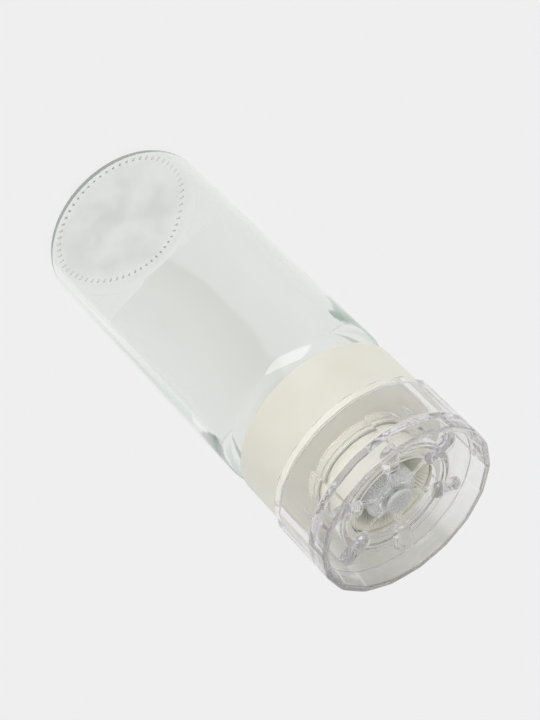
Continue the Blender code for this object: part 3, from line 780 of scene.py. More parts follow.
def frosted_material(name, colour):
    """Clear plastic whose worked faces are frosted: noise drives the roughness and a fine bump."""
    material, tree, shader = new_material(name)
    shader.inputs["Base Color"].default_value = (*colour, 1.0)
    shader.inputs["Transmission Weight"].default_value = 0.25
    shader.inputs["IOR"].default_value = FROSTED_IOR
    fine = noise(tree, FROST_SCALE)
    tree.links.new(spread_noise(tree, fine, *FROST_ROUGHNESS), shader.inputs["Roughness"])
    add_bump(tree, shader, fine, FROST_DEPTH)
    return material


def foam_material(name, colour):
    """Matt foam: small cells, each a little pit that is painted darker than its walls as painted shade."""
    material, tree, shader = new_material(name)
    cells = add_node(tree, 'ShaderNodeTexVoronoi', {
        "Vector": own_place(tree), "Scale": CELL_SCALE}).outputs["Distance"]
    walls = blend_tones(tree, cells, darker(colour, CELL_SHADE), colour)
    tree.links.new(walls, shader.inputs["Base Color"])
    shader.inputs["Roughness"].default_value = 0.75
    add_bump(tree, shader, cells, CELL_DEPTH)
    return material


def jar_levels(jar):
    """The jar's main radii and heights, from the frame's box and the panel's sizes."""
    side = JAR_HIGH.x
    mouth = JAR_HIGH.z
    shoulder = mouth - jar.neck_height
    neck = side - jar.shoulder - jar.cove
    return side, mouth, shoulder, neck


class SPICEMILL_OT_jar(Operator):
    """Glass jar with its dashed base, wavy inside wall, round shoulder and threaded neck"""
    bl_idname = "spicemill.jar"
    bl_label = "Glass jar"

    def outline(self, jar):
        """The jar's turned outline from the middle of the base, up the outside and down the inside.

        Both floors are parabolas: the push-up times one less the square of the radius over the edge's.
        """
        side, mouth, shoulder, neck = jar_levels(jar)
        bore = neck - jar.neck_wall
        inside = side - jar.wall
        ceiling = shoulder - jar.wall
        bearing_outer = side - jar.heel
        bearing_inner = bearing_outer - jar.bearing
        inner_foot = inside - jar.inner_heel
        wedge_round = 6 * jar.shoulder
        corners = [
            (bearing_inner, 0, 0, 0), (side, 0, 0, jar.heel), (side, shoulder, 0, jar.shoulder),
            (neck, shoulder, 0, jar.cove), (neck, mouth, 0, jar.mouth_round),
            (bore, mouth, 0, jar.mouth_round), (bore, ceiling, 0, jar.inner_corner),
            (inside - jar.wedge_reach, ceiling, 0, jar.inner_shoulder),
            (inside, shoulder - jar.wedge_foot, 0, wedge_round),
            (inside, jar.floor_thickness, 0, jar.inner_heel),
            (inner_foot - EDGE_STEP, jar.floor_thickness, 0, 0),
        ]

        def spacing(radius, height):
            on_bearing = (height < EDGE_STEP) & (radius < bearing_outer)
            on_thread = (np.abs(radius - neck) < EDGE_STEP) & (height > shoulder)
            return np.where(on_bearing, BEARING_STEP, np.where(on_thread, JAR_THREAD_STEP, LARGE_STEP))

        walls = fill_sides(rounded_outline(corners, JAR_ARC, joined=False), spacing, joined=False)
        share = np.linspace(FIRST_SHARE, 1, DISC_ROWS + 1)[:-1]
        rise = jar.push_up * (1 - share ** 2)
        flat = np.zeros_like(share)
        under = np.column_stack((bearing_inner * share, rise, flat))
        top = np.column_stack((inner_foot * share, jar.floor_thickness + rise, flat))[::-1]
        return np.vstack((under, walls, top))

    def ridge(self, jar, thread, radius, height, angle):
        """How far the thread stands out of the neck: its height times the helical swell."""
        shoulder, neck = jar_levels(jar)[2:]
        on_neck = (np.abs(radius - neck) < EDGE_STEP) & (height > shoulder + jar.cove)
        swell = thread_swell(angle, height, shoulder + jar.thread_rise, jar.thread_base, thread)
        return np.where(on_neck, jar.thread_height * swell, 0)

    def wander(self, jar, radius, height, angle):
        """How far the inside wall wanders: a sum of cosines of the angle, each turned as it rises."""
        side, mouth = jar_levels(jar)[:2]
        inside = side - jar.wall
        on_wall = ramp(radius, inside - jar.inner_heel, inside) * (radius < inside + EDGE_STEP)
        tall = height / mouth
        waves = sum(share * np.cos(number * angle + start + rising * tall)
                    for number, share, start, rising in WALL_WAVES)
        return waves * jar.wobble * on_wall

    def groove(self, jar, radius, height, angle):
        """How deep the short grooves under the base are: smooth steps across and along each one."""
        outer = jar_levels(jar)[0] - jar.heel
        inner = outer - jar.bearing
        ease = jar.dash_ease
        along = ramp(radius, inner + ease, inner + 2 * ease)
        along = along * (1 - ramp(radius, outer - 2 * ease, outer - ease))
        full_share = 0.02
        period = math.tau / jar.dashes
        off = np.abs((angle + period / 2) % period - period / 2)
        across = 1 - ramp(off, full_share * period, jar.dash_share * period)
        return np.where(height < jar.push_up, jar.dash_depth * along * across, 0)

    def execute(self, context):
        jar = context.scene.spice_jar
        outline = self.outline(jar)
        angle = even_angles(jar.dashes * DASH_COLUMNS)[None]
        radius, height = outline[:, :1], outline[:, 1:2]
        ridge = self.ridge(jar, context.scene.spice_thread, radius, height, angle)
        wander = self.wander(jar, radius, height, angle)
        groove = self.groove(jar, radius, height, angle)
        points = lathe_points(radius + ridge + wander, height + groove, angle)
        piece = build_piece("jar_glass", points, joined=False)
        dress(piece, glass_material(jar), "jar", "jar_glass", "glass_jar")
        return {'FINISHED'}


class SPICEMILL_OT_seal(Operator):
    """Foam ring between the mouth of the jar and the collar"""
    bl_idname = "spicemill.seal"
    bl_label = "Neck seal"

    def execute(self, context):
        jar, small = context.scene.spice_jar, context.scene.spice_small
        bore = jar_levels(jar)[3] - jar.neck_wall - jar.cove
        corners = ring_corners(bore, SEAL_HIGH.x, SEAL_LOW.z, SEAL_HIGH.z, small.seal_round)
        outline = fill_sides(rounded_outline(corners, FINE_ARC), SMALL_STEP)
        piece = turned_piece("seal_ring", outline, PLAIN_COLUMNS)
        dress(piece, foam_material("seal_foam", small.foam), "seal", "seal_foam", "neck_seal")
        return {'FINISHED'}


class SPICEMILL_OT_collar(Operator):
    """Cream collar: sleeve, deck, threaded skirt and the grooved spigot"""
    bl_idname = "spicemill.collar"
    bl_label = "Collar"

    def outline(self, collar, jar):
        """The collar's turned outline: sleeve, deck, spigot with its groove, ledge, thread bore, skirt."""
        outer = COLLAR_HIGH.x
        foot = COLLAR_LOW.z
        top = COLLAR_HIGH.z
        edge = collar.edge
        fine = edge / 4
        sleeve = outer - collar.sleeve_wall
        deck = top - collar.spigot_height
        under = deck - collar.deck
        bore = BURR_HIGH.x + collar.seat
        spigot = bore + collar.spigot_wall
        floor = spigot - collar.groove_depth
        groove_low = RING_LOW.z - collar.seat
        groove_high = RING_HIGH.z + collar.set_travel + collar.seat
        bump = (RING_LOW.z + RING_HIGH.z + collar.set_travel) / 2
        ledge = bore - collar.ledge_width
        ledge_top = deck + collar.ledge_rise
        ledge_low = ledge_top - collar.ledge_thickness
        skirt_foot = jar_levels(jar)[2] + collar.skirt_rise
        skirt = collar.skirt_bore + collar.skirt_wall
        corners = [
            (sleeve, foot, 0, fine), (outer, foot, 0, edge), (outer, deck, 0, edge),
            (spigot, deck, 0, edge), (spigot, groove_low, 0, fine), (floor, groove_low, 0, fine),
            (floor, bump - collar.detent, 0, fine), (floor + collar.detent, bump, 0, fine),
            (floor, bump + collar.detent, 0, fine), (floor, groove_high, 0, fine),
            (spigot, groove_high, 0, fine), (spigot, top, 0, edge), (bore, top, 0, edge),
            (bore, ledge_top, 0, fine), (ledge, ledge_top, 0, fine), (ledge, ledge_low, 0, fine),
            (bore, ledge_low, 0, fine), (bore, under, 0, edge), (collar.skirt_bore, under, 0, edge),
            (collar.skirt_bore, skirt_foot, 0, edge), (skirt, skirt_foot, 0, edge),
            (skirt, under, 0, edge), (sleeve, under, 0, edge),
        ]

        def spacing(radius, height):
            on_thread = np.abs(radius - collar.skirt_bore) < EDGE_STEP
            return np.where(on_thread, COLLAR_THREAD_STEP, COLLAR_STEP)

        return fill_sides(rounded_outline(corners, PLAIN_ARC), spacing)

    def execute(self, context):
        scene = context.scene
        collar, jar, thread = scene.spice_collar, scene.spice_jar, scene.spice_thread
        outline = self.outline(collar, jar)
        radius, height = outline[:, :1], outline[:, 1:2]
        angle = even_angles(COLLAR_COLUMNS)[None]
        start = jar_levels(jar)[2] + jar.thread_rise - thread.pitch / 2
        on_bore = (np.abs(radius - collar.skirt_bore) < EDGE_STEP) & (height < COLLAR_HIGH.z)
        swell = thread_swell(angle, height, start, collar.thread_base, thread)
        ridge = np.where(on_bore, collar.thread_height * swell, 0)
        piece = build_piece("collar_shell", lathe_points(radius - ridge, height, angle), joined=True)
        cream = satin_material("collar_cream", collar.cream, collar.cream_shade, COLLAR_FINISH)
        dress(piece, cream, "base", "collar_cream", "collar")
        return {'FINISHED'}


class SPICEMILL_OT_burr_ring(Operator):
    """Fixed burr with fine slanted teeth on both sides of its throat"""
    bl_idname = "spicemill.burr_ring"
    bl_label = "Burr ring"

    def execute(self, context):
        burr = context.scene.spice_burr
        low, top, outer = BURR_LOW.z, BURR_HIGH.z, BURR_HIGH.x
        throat = CONE_HIGH.x + burr.gap + burr.ring_tooth
        throat_low = low + burr.throat_rise
        throat_high = throat_low + burr.throat_land
        fine = burr.outlet_lip / 4
        corners = [
            (outer, low, 0, fine), (outer, top, 0, fine), (outer - burr.outlet_lip, top, 0, fine),
            (throat, throat_high, 0, fine), (throat, throat_low, 0, fine),
            (outer - burr.inlet_lip, low, 0, fine),
        ]
        outline = fill_sides(rounded_outline(corners, TEETH_ARC), RING_TEETH_STEP)
        radius, height = outline[:, :1], outline[:, 1:2]
        angle = even_angles(burr.ring_teeth * TEETH_COLUMNS)[None]
        on_bore = radius < outer - burr.outlet_lip / 2
        lean = burr.ring_slant * np.clip((height - throat_high) / (top - throat_high), 0, 1)
        phase = ((angle + lean) * burr.ring_teeth / math.tau) % 1
        tooth = 1 - np.abs(2 * phase - 1)
        depth = burr.ring_tooth * ramp(outer - radius, burr.outlet_lip / 2, 2 * burr.outlet_lip)
        points = lathe_points(radius - np.where(on_bore, depth * tooth, 0), height, angle)
        piece = build_piece("burr_teeth_ring", points, joined=True)
        shade = darker(burr.ring_cream, BURR_SHADE)
        cream = satin_material("burr_cream", burr.ring_cream, shade, BURR_FINISH)
        dress(piece, cream, "base", "burr_cream", "burr_ring")
        return {'FINISHED'}


class SPICEMILL_OT_retaining_ring(Operator):
    """Split spring ring that holds the head on the spigot"""
    bl_idname = "spicemill.retaining_ring"
    bl_label = "Retaining ring"

    def execute(self, context):
        small = context.scene.spice_small
        corners = ring_corners(small.ring_bore, RING_HIGH.y, RING_LOW.z, RING_HIGH.z, small.fillet)
        piece = split_ring("ring_spring", corners, small.ring_gap, PLAIN_COLUMNS)
        shade = darker(small.off_white, SMALL_SHADE)
        plastic = satin_material("ring_plastic", small.off_white, shade, SMALL_FINISH)
        dress(piece, plastic, "ring", "ring_plastic", "retaining_ring")
        return {'FINISHED'}


class SPICEMILL_OT_head(Operator):
    """Clear head: flat-sided skirt, open recess, web, running tube, lugs, spokes and hub"""
    bl_idname = "spicemill.head"
    bl_label = "Grinder head"

    def outline(self, head, collar):
        """The head's turned outline; the flatness is the share of the flats that a row follows."""
        low, top = HEAD_LOW.z, HEAD_HIGH.z
        apothem = self.apothem(head)
        web = top - head.rim_rise
        under = web - head.web
        tube_low = COLLAR_HIGH.z - collar.spigot_height + head.tube_foot
        clear = collar.seat
        part_flat = head.flat_share
        bore = head.tube_bore
        tube = bore + head.tube_wall
        groove = RING_HIGH.y + clear
        fine = head.lip_wall / 4
        edge = head.rim_edge
        soft = edge / 2
        lip_round = 1.8 * fine
        corners = [
            (apothem, low, 1, lip_round), (apothem, top, part_flat, edge),
            (apothem - head.rim_wall, top, part_flat, edge),
            (apothem - head.recess_wall, web, part_flat, soft),
            (tube, web, 0, fine),
            (tube, web + head.step, 0, soft / 2), (bore, web + head.step, 0, soft / 2),
            (bore, web, 0, fine), (head.opening, web, 0, soft), (head.opening, under, 0, fine),
            (bore, under, 0, fine), (bore, RING_HIGH.z + clear, 0, fine / 2),
            (groove, RING_HIGH.z + clear, 0, fine), (groove, RING_LOW.z - clear, 0, fine),
            (bore, RING_LOW.z - clear, 0, fine / 2), (bore, tube_low, 0, fine),
            (tube, tube_low, 0, fine), (tube, under, 0, soft),
            (apothem - head.wall, under, 0, soft), (apothem - head.wall, low + head.lip_height, 0, fine),
            (apothem - head.lip_wall, low + head.lip_height, 0, fine),
            (apothem - head.lip_wall, low, 0, lip_round),
        ]
        return fill_sides(rounded_outline(corners, PLAIN_ARC), LARGE_STEP)

    def apothem(self, head):
        """From the axis to a flat: the collar's radius, the play and the lip's wall."""
        return COLLAR_HIGH.x + head.play + head.lip_wall

    def spin(self, head, index):
        """The angle at which a lug and its spoke stand."""
        return head.lug_turn + index * math.tau / head.lugs

    def lug(self, head, index, web):
        """A teardrop dome: the hull of a wide and a narrow circle.

        A point's circle is the one that reaches further in the point's direction. The circles shrink
        by the cosine of the bend while the dome rises by its sine, less towards the narrow end. The bend
        goes from that of the dome's foot nearly to a right angle.
        """
        turn_round = even_angles(LUG_COLUMNS)[None]
        bend = np.linspace(head.lug_bend, head.lug_top, LUG_ROWS)[:, None]
        bend = np.vstack((bend[:1], bend))
        shrink = np.cos(bend) / math.cos(head.lug_bend)
        outer = head.lug_outer - head.lug_wide
        inner = head.lug_inner + head.lug_narrow
        wide, narrow = head.lug_wide * shrink, head.lug_narrow * shrink
        on_wide = outer * np.cos(turn_round) + wide >= inner * np.cos(turn_round) + narrow
        circle = np.where(on_wide, wide, narrow)
        along = np.where(on_wide, outer, inner) + circle * np.cos(turn_round)
        across = circle * np.sin(turn_round)
        drop = head.lug_fall * (outer - along) / (outer - inner)
        rise = (np.sin(bend) - math.sin(head.lug_bend)) / (1 - math.sin(head.lug_bend))
        rise = rise * (1 - np.clip(drop, 0, 1))
        level = web + head.lug_height * rise
        level[0] = web - head.web / 3
        points = spun(along, across, level, self.spin(head, index))
        return build_piece(f"lug_{index}", points, joined=False)

    def spoke(self, head, index, under):
        """An arm with a lens section: the cosine across, and the sine's square with its sign upwards."""
        round_section = even_angles(SPOKE_COLUMNS)[None]
        reach = np.linspace((head.hub_bore + head.hub) / 2, head.opening + head.web, SPOKE_ROWS)[:, None]
        cosine, sine = np.cos(round_section), np.sin(round_section)
        across = cosine * head.spoke_width / 2
        level = sine * np.abs(sine) * head.spoke_depth / 2
        level = level + under + head.spoke_rise + head.spoke_depth / 2
        reach, across, level = np.broadcast_arrays(reach, across, level)
        points = spun(reach, across, level, self.spin(head, index))
        return build_piece(f"spoke_{index}", points, joined=False)

    def hub(self, head, under):
        """A short tube that stands a little proud of the spokes above and below."""
        low = under + head.spoke_rise - head.hub_proud
        top = low + head.spoke_depth + 2 * head.hub_proud
        fillet = head.rim_edge / 3
        corners = [(head.hub, low, 0, fillet), (head.hub, top, 0, fillet),
                   (head.hub_bore, top, 0, fillet / 2), (head.hub_bore, low, 0, fillet / 2)]
        return turned_piece("hub", fill_sides(rounded_outline(corners, PLAIN_ARC), SMALL_STEP), PIN_COLUMNS)

    def execute(self, context):
        """Turns the outline and joins the lugs, the spokes and the hub to it.

        The columns crowd together near the corners: one less the square of the share left to the corner.
        """
        head = context.scene.spice_head
        web = HEAD_HIGH.z - head.rim_rise
        under = web - head.web
        outline = self.outline(head, context.scene.spice_collar)
        share = 2 * np.arange(FLAT_COLUMNS) / FLAT_COLUMNS - 1
        share = np.sign(share) * (1 - (1 - np.abs(share)) ** 2)
        flat = np.arange(head.flats)[:, None] + (share + 1) / 2
        angle = head.flat_turn + flat.reshape(1, -1) * math.tau / head.flats
        factor = facet_factor(angle, head.flats, head.flat_turn, head.corner / self.apothem(head))
        radius = outline[:, :1] * (1 + outline[:, 2:3] * (factor - 1))
        piece = build_piece("head_shell", lathe_points(radius, outline[:, 1:2], angle), joined=True)
        tools = [self.hub(head, under)]
        for index in range(head.lugs):
            tools += [self.lug(head, index, web), self.spoke(head, index, under)]
        join_solids(piece, tools)
        dress(piece, head_material(head), "head", "head_clear", "grinder_head")
        return {'FINISHED'}


class SPICEMILL_OT_burr_cone(Operator):
    """Turning burr: fine teeth round its rim, coarse twisted ridges on its tail"""
    bl_idname = "spicemill.burr_cone"
    bl_label = "Burr cone"

    def valley(self, burr, angle):
        """A fine tooth's depth from 0 to 1: a zigzag with one peak a tooth."""
        return np.abs(2 * ((angle * burr.cone_teeth / math.tau) % 1) - 1)

    def face_cut(self, burr, radius, height, angle, top):
        """How far the fine teeth are cut down into the bevel: a smooth step outwards times the zigzag."""
        start_share, full_share, depth_share = 0.9, 1.15, 0.8
        on_top = height > top - burr.face_drop - EDGE_STEP
        outwards = ramp(radius, start_share * burr.face_radius, full_share * burr.face_radius)
        return burr.cone_tooth * depth_share * self.valley(burr, angle) * np.where(on_top, outwards, 0)

    def side_cut(self, burr, radius, height, angle, land, low, rim):
        """How far the side is cut: fine teeth above the land, coarse ridges under it.

        A coarse ridge is a cosine of the angle, which turns with the share of the way down the tail.
        """
        ease_share = 0.15
        on_side = (height > land) & (radius > rim - EDGE_STEP)
        fine = burr.cone_tooth * self.valley(burr, angle) * (on_side | (radius > rim - burr.cone_tooth))
        share = np.clip((land - height) / (land - low), 0, 1)
        wave = 0.5 - 0.5 * np.cos(burr.ridges * (angle + burr.ridge_twist * share))
        outside = radius > burr.bore + burr.cone_tooth
        coarse = burr.ridge_depth * wave * ramp(share, 0, ease_share) * outside
        return np.where(height > land, fine, coarse)

    def execute(self, context):
        burr = context.scene.spice_burr
        top, low, rim = CONE_HIGH.z, CONE_LOW.z, CONE_HIGH.x
        land = BURR_LOW.z + burr.throat_rise - burr.throat_land / 2
        fine = burr.cone_tooth / 4
        tail = burr.tail + burr.ridge_depth / 2
        corners = [
            (burr.bore, top, 0, fine), (burr.face_radius, top, 0, burr.cone_tooth),
            (rim, top - burr.face_drop, 0, fine), (rim, land, 0, fine), (tail, low, 0, fine),
            (burr.bore, low, 0, fine),
        ]
        outline = fill_sides(rounded_outline(corners, PLAIN_ARC), CONE_TEETH_STEP)
        radius, height = outline[:, :1], outline[:, 1:2]
        angle = even_angles(burr.cone_teeth * TEETH_COLUMNS)[None]
        points = lathe_points(radius - self.side_cut(burr, radius, height, angle, land, low, rim),
                              height - self.face_cut(burr, radius, height, angle, top), angle)
        piece = build_piece("cone_toothed", points, joined=True)
        dress(piece, frosted_material("cone_clear", burr.cone_clear), "head", "cone_clear", "burr_cone")
        return {'FINISHED'}


class SPICEMILL_OT_spindle(Operator):
    """Headed pin that carries the cone, and the split clip in its groove"""
    bl_idname = "spicemill.spindle"
    bl_label = "Spindle and clip"

    def execute(self, context):
        small = context.scene.spice_small
        fillet = small.fillet
        clear = context.scene.spice_collar.seat
        low, top = PIN_LOW.z, PIN_HIGH.z
        head_low = top - small.pin_head_height
        corners = [
            (fillet, low, 0, 0), (small.pin, low, 0, fillet),
            (small.pin, CLIP_LOW.z - clear, 0, fillet / 2),
            (small.pin_groove, CLIP_LOW.z - clear, 0, fillet / 2),
            (small.pin_groove, CLIP_HIGH.z + clear, 0, fillet / 2),
            (small.pin, CLIP_HIGH.z + clear, 0, fillet / 2), (small.pin, head_low, 0, fillet),
            (PIN_HIGH.x, head_low, 0, fillet / 2), (PIN_HIGH.x, top, 0, 3 * fillet), (fillet, top, 0, 0),
        ]
        outline = fill_sides(rounded_outline(corners, FINE_ARC, joined=False), SMALL_STEP, joined=False)
        piece = turned_piece("pin_headed", outline, PIN_COLUMNS, joined=False)
        frosted = frosted_material("spindle_clear", small.pin_clear)
        dress(piece, frosted, "head", "spindle_clear", "spindle")
        corners = ring_corners(small.pin_groove + clear, -CLIP_LOW.x, CLIP_LOW.z, CLIP_HIGH.z, fillet)
        clip = split_ring("clip_split", corners, small.clip_gap, PIN_COLUMNS)
        shade = darker(small.off_white, SMALL_SHADE)
        plastic = satin_material("clip_plastic", small.off_white, shade, SMALL_FINISH)
        dress(clip, plastic, "head", "clip_plastic", "cone_clip")
        return {'FINISHED'}


def softbox(tree, direction, corners):
    """Share of a flat four-cornered softbox in a direction of the world, from 0 to 1.

    A corner is (azimuth, elevation) in degrees. Two corners that follow each other span a plane through
    the eye, and the direction is in the softbox where it is on the inner side of all four planes.
    """
    azimuth, elevation = np.radians(np.array(corners)).T
    ahead = lathe_points(np.cos(elevation), np.sin(elevation), azimuth)
    planes = np.cross(ahead, np.roll(ahead, -1, axis=0))
    planes /= np.linalg.norm(planes, axis=1, keepdims=True)
    planes *= np.sign(planes @ ahead.sum(axis=0))[:, None]
    return multiply(tree, *(
        spread_range(tree, dot(tree, direction, tuple(plane)), -SOFTBOX_EDGE, SOFTBOX_EDGE, 0.0, 1.0)
        for plane in planes))


def stage_sheet(name, places, faces):
    """A sheet from its points and faces, with a material that has no gloss.

    The sheet, its material's node tree and its shader are handed back.
    """
    mesh = bpy.data.meshes.new(name)
    mesh.from_pydata(places.reshape(-1, 3).tolist(), [], faces)
    sheet = bpy.data.objects.new(name, mesh)
    bpy.context.scene.collection.objects.link(sheet)
    material, tree, shader = new_material(name)
    shader.inputs["Specular IOR Level"].default_value = 0.0
    mesh.materials.append(material)
    return sheet, tree, shader


class SPICEMILL_OT_studio(Operator):
    """Plain pale floor, soft studio light and the camera"""
    bl_idname = "spicemill.studio"
    bl_label = "Studio"

    def floor(self, studio):
        """A flat disc whose rings stand closer near the jar: the reach times the share's square, with a
        painted shadow under the jar.
        """
        share = np.linspace(FIRST_SHARE, 1, FLOOR_ROWS)[:, None]
        reach = studio.floor_reach * share ** 2
        places = lathe_points(reach, np.zeros_like(share), even_angles(FLOOR_COLUMNS)[None])
        index = np.arange(FLOOR_ROWS * FLOOR_COLUMNS).reshape(FLOOR_ROWS, FLOOR_COLUMNS)
        after = np.roll(index, -1, axis=1)
        quads = np.stack((index[:-1], index[1:], after[1:], after[:-1]), axis=-1).reshape(-1, 4)
        faces = quads.tolist() + [index[0].tolist()]
        floor, tree, shader = stage_sheet("studio_floor", places, faces)
        floor.visible_glossy = False
        shade = darker(studio.floor_tone, FLOOR_SHADE)
        paper = blend_tones(tree, noise(tree, PAPER_SCALE), studio.floor_tone, shade)
        tree.links.new(paper, shader.inputs["Base Color"])
        shader.inputs["Roughness"].default_value = 1.0
        shader.inputs["Emission Color"].default_value = (*WHITE, 1.0)
        # Painted shadow under the jar: the floor's glow is dimmed there in cloudy patches
        shade_full, shade_end = 0.014, 0.026
        cloud_start, cloud_full, thinnest = 0.42, 0.62, 0.1
        away = length_of(tree, own_place(tree))
        shadow_under_jar = spread_range(tree, away, shade_full, shade_end, studio.floor_painted_shadow, 0.0)
        clouds = noise(tree, CLOUD_SCALE, detail=4.0)
        cloudy = spread_range(tree, clouds, cloud_start, cloud_full, thinnest, 1.0)
        glow = spread_range(tree, multiply(tree, shadow_under_jar, cloudy), 0.0, 1.0, studio.floor_glow, 0.0)
        tree.links.new(glow, shader.inputs["Emission Strength"])

    def card(self, studio):
        """A flat sheet close behind the jar that only shows through clear parts, with painted shadow on it.

        It stands for the pale surface that a lying jar rests on: as bright as the floor, with painted
        shadow behind the jar and along the line where the jar would touch it, darkest behind the grinder.
        """
        half_width, lift, top = 0.12, 0.0002, 0.24
        across, upwards = np.meshgrid(np.linspace(-half_width, half_width, CARD_POINTS),
                                      np.linspace(lift, top, CARD_POINTS))
        places = np.stack((across, np.full_like(across, studio.card_away), upwards), axis=-1)
        index = np.arange(CARD_POINTS ** 2).reshape(CARD_POINTS, CARD_POINTS)
        quads = np.stack((index[:-1, :-1], index[:-1, 1:], index[1:, 1:], index[1:, :-1]), axis=-1)
        card, tree, shader = stage_sheet("studio_card", places, quads.reshape(-1, 4).tolist())
        card.visible_camera = False
        card.visible_diffuse = False
        card.visible_glossy = False
        card.visible_shadow = False
        shader.inputs["Base Color"].default_value = (0.0, 0.0, 0.0, 1.0)
        shade = self.card_shade(tree, studio)
        tree.links.new(blend_tones(tree, shade, WHITE, studio.card_tone), shader.inputs["Emission Color"])
        bright = spread_range(tree, shade, 0.0, 1.0, studio.backdrop, 0.0)
        tree.links.new(bright, shader.inputs["Emission Strength"])

    def card_shade(self, tree, studio):
        """How dark the card's painted shadow is: a wide shadow times its height's share, and a band with
        one sharp side.
        """
        wander, middle, full, end = 0.0035, 0.007, 0.009, 0.030
        band_start, band_edge, band_reach = -0.004, 0.001, 0.016
        head_start, head_full, left, right, left_share = 0.084, 0.104, -0.016, 0.020, 0.3
        parts = parts_of(tree, own_place(tree))
        wavy = spread_noise(tree, noise(tree, WANDER_SCALE, detail=1.0), -wander, wander)
        moved = calculate(tree, 'ADD', parts["X"], wavy)
        away = calculate(tree, 'ABSOLUTE', calculate(tree, 'SUBTRACT', moved, middle))
        wide = spread_range(tree, away, full, end, 1.0, 0.0)
        band = calculate(tree, 'SUBTRACT', moved, band_start)
        narrow = multiply(tree, spread_range(tree, band, -band_edge, band_edge, 0.0, studio.card_contact_shadow),
                          spread_range(tree, band, 0.0, band_reach, 1.0, 0.0))
        darkest = studio.card_head_shadow
        at_side = spread_range(tree, parts["X"], left, right, left_share * darkest, darkest)
        at_head = spread_range(tree, parts["Z"], head_start, head_full, studio.card_shade, at_side)
        return calculate(tree, 'MULTIPLY_ADD', wide, at_head, narrow)

    def light(self, studio):
        """A world that is pale where it is seen and a soft studio where it lights and is mirrored."""
        world = bpy.data.worlds.new("studio")
        bpy.context.scene.world = world
        world.use_nodes = True
        tree = world.node_tree
        direction = add_node(tree, 'ShaderNodeTexCoord').outputs["Generated"]
        path = add_node(tree, 'ShaderNodeLightPath').outputs
        height = parts_of(tree, direction)["Z"]
        facing = dot(tree, direction, BACKWARDS)
        room = self.room(tree, studio, direction, height, facing, path)
        behind = self.behind_glass(tree, studio, room, height, facing, path)
        strength = add_node(tree, 'ShaderNodeMix', {
            "Factor": path["Is Camera Ray"], "A": behind, "B": studio.backdrop}).outputs[0]
        background = tree.nodes["Background"].inputs
        tree.links.new(strength, background["Strength"])
        background["Color"].default_value = (*WHITE, 1.0)

    def room(self, tree, studio, direction, height, facing, path):
        """The studio's brightness: two tones low down, one above, and two softboxes."""
        front, back, upper_start, upper_full = -0.5, 0.7, -0.1, 0.3
        zenith_start, zenith_full, fill_full, fill_end = 0.4, 0.9, -0.9, -0.1
        depth = parts_of(tree, direction)["Y"]
        low = spread_range(tree, depth, front, back, studio.front_low, studio.back_low)
        upper = spread_range(tree, height, upper_start, upper_full, 0.0, 1.0)
        above = spread_range(tree, height, zenith_start, zenith_full, studio.overhead, studio.zenith)
        fill = spread_range(tree, facing, fill_full, fill_end, studio.front_fill, 0.0)
        above = calculate(tree, 'ADD', above, fill)
        walls = add_node(tree, 'ShaderNodeMix', {"Factor": upper, "A": low, "B": above}).outputs[0]
        outside = spread_range(tree, path["Transmission Depth"], 0.0, 1.0, 1.0, 0.0)
        seen = spread_range(tree, path["Diffuse Depth"], 0.0, 1.0, outside, studio.key_share)
        key = multiply(tree, softbox(tree, direction, KEY_BOX), seen)
        light = calculate(tree, 'MULTIPLY_ADD', key, studio.key_light, walls)
        side = softbox(tree, direction, SIDE_BOX)
        light = calculate(tree, 'MULTIPLY_ADD', side, studio.side_light, light)
        direct = spread_range(tree, path["Diffuse Depth"], 0.0, 1.0, studio.seen_through, 0.0)
        return calculate(tree, 'MULTIPLY_ADD', path["Is Transmission Ray"], direct, light)

    def behind_glass(self, tree, studio, room, height, facing, path):
        """The room's light, with less of it and more from the front and the top behind glass."""
        front_full, front_end, shallow_full, shallow_end = -0.9, 0.1, 0.05, 0.40
        top_start, top_share = 0.8, 0.45
        inside = spread_range(tree, path["Transmission Depth"], 0.0, 1.0, 0.0, studio.lit_through)
        inside = multiply(tree, inside, path["Is Diffuse Ray"])
        from_front = multiply(tree, spread_range(tree, facing, front_full, front_end, 1.0, 0.0),
                              spread_range(tree, height, shallow_full, shallow_end, 1.0, 0.0))
        from_top = spread_range(tree, height, top_start, 1.0, 0.0, top_share)
        extra = calculate(tree, 'ADD', from_front, from_top)
        share = spread_range(tree, inside, 0.0, studio.lit_through, 1.0, studio.behind_share)
        return calculate(tree, 'MULTIPLY_ADD', inside, extra, multiply(tree, room, share))

    def camera(self):
        """The photograph's view: a place, a point that it looks at and a roll about its own axis."""
        data = bpy.data.cameras.new("camera")
        data.lens = CAMERA_LENS
        data.sensor_width = CAMERA_SENSOR
        camera = bpy.data.objects.new("camera", data)
        camera.location = CAMERA_PLACE
        camera.rotation_mode = 'QUATERNION'
        facing = (CAMERA_TARGET - CAMERA_PLACE).to_track_quat('-Z', 'Y')
        camera.rotation_quaternion = facing @ Quaternion((0.0, 0.0, 1.0), CAMERA_ROLL)
        bpy.context.scene.collection.objects.link(camera)
        bpy.context.scene.camera = camera

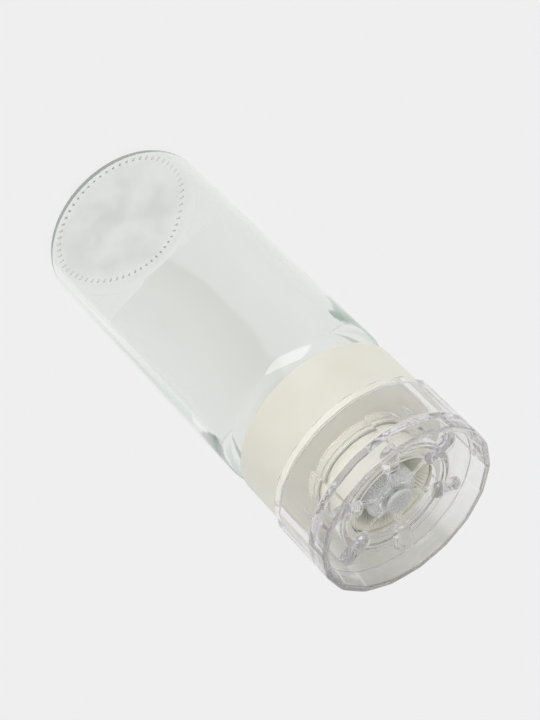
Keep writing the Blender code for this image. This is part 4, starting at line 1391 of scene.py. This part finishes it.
    def execute(self, context):
        scene = context.scene
        self.floor(scene.spice_studio)
        self.card(scene.spice_studio)
        self.light(scene.spice_studio)
        self.camera()
        scene.view_settings.view_transform = 'Standard'
        scene.cycles.blur_glossy = 0.0
        scene.cycles.max_bounces = LIGHT_BOUNCES
        scene.cycles.glossy_bounces = GLOSSY_BOUNCES
        scene.cycles.transmission_bounces = LIGHT_BOUNCES
        return {'FINISHED'}


OPERATORS = (
    SPICEMILL_OT_studio, SPICEMILL_OT_jar, SPICEMILL_OT_seal, SPICEMILL_OT_collar, SPICEMILL_OT_burr_ring,
    SPICEMILL_OT_retaining_ring, SPICEMILL_OT_head, SPICEMILL_OT_burr_cone, SPICEMILL_OT_spindle,
)
SETTINGS = {
    "spice_jar": JarSettings, "spice_collar": CollarSettings, "spice_thread": ThreadSettings,
    "spice_burr": BurrSettings, "spice_head": HeadSettings, "spice_small": SmallPartSettings,
    "spice_studio": StudioSettings,
}


class SPICEMILL_PT_panel(Panel):
    """Buttons for every piece, and the sizes and colours that they use"""
    bl_idname = "SPICEMILL_PT_panel"
    bl_label = "Spice mill"
    bl_space_type = 'VIEW_3D'
    bl_region_type = 'UI'
    bl_category = "Spice mill"

    def draw(self, context):
        for operator in OPERATORS:
            self.layout.operator(operator.bl_idname)
        for name in SETTINGS:
            box = self.layout.box()
            settings = getattr(context.scene, name)
            for field in settings.__annotations__:
                box.prop(settings, field)


def register():
    for kind in (*SETTINGS.values(), *OPERATORS, SPICEMILL_PT_panel):
        bpy.utils.register_class(kind)
    for name, kind in SETTINGS.items():
        setattr(bpy.types.Scene, name, PointerProperty(type=kind))


def unregister():
    for name in SETTINGS:
        delattr(bpy.types.Scene, name)
    for kind in reversed((*SETTINGS.values(), *OPERATORS, SPICEMILL_PT_panel)):
        bpy.utils.unregister_class(kind)


def main():
    register()
    for item in list(bpy.data.objects):
        if item.type in {'CAMERA', 'LIGHT'}:
            bpy.data.objects.remove(item, do_unlink=True)
    for operator in OPERATORS:
        group, action = operator.bl_idname.split(".")
        getattr(getattr(bpy.ops, group), action)()


if __name__ == "__main__":
    main()
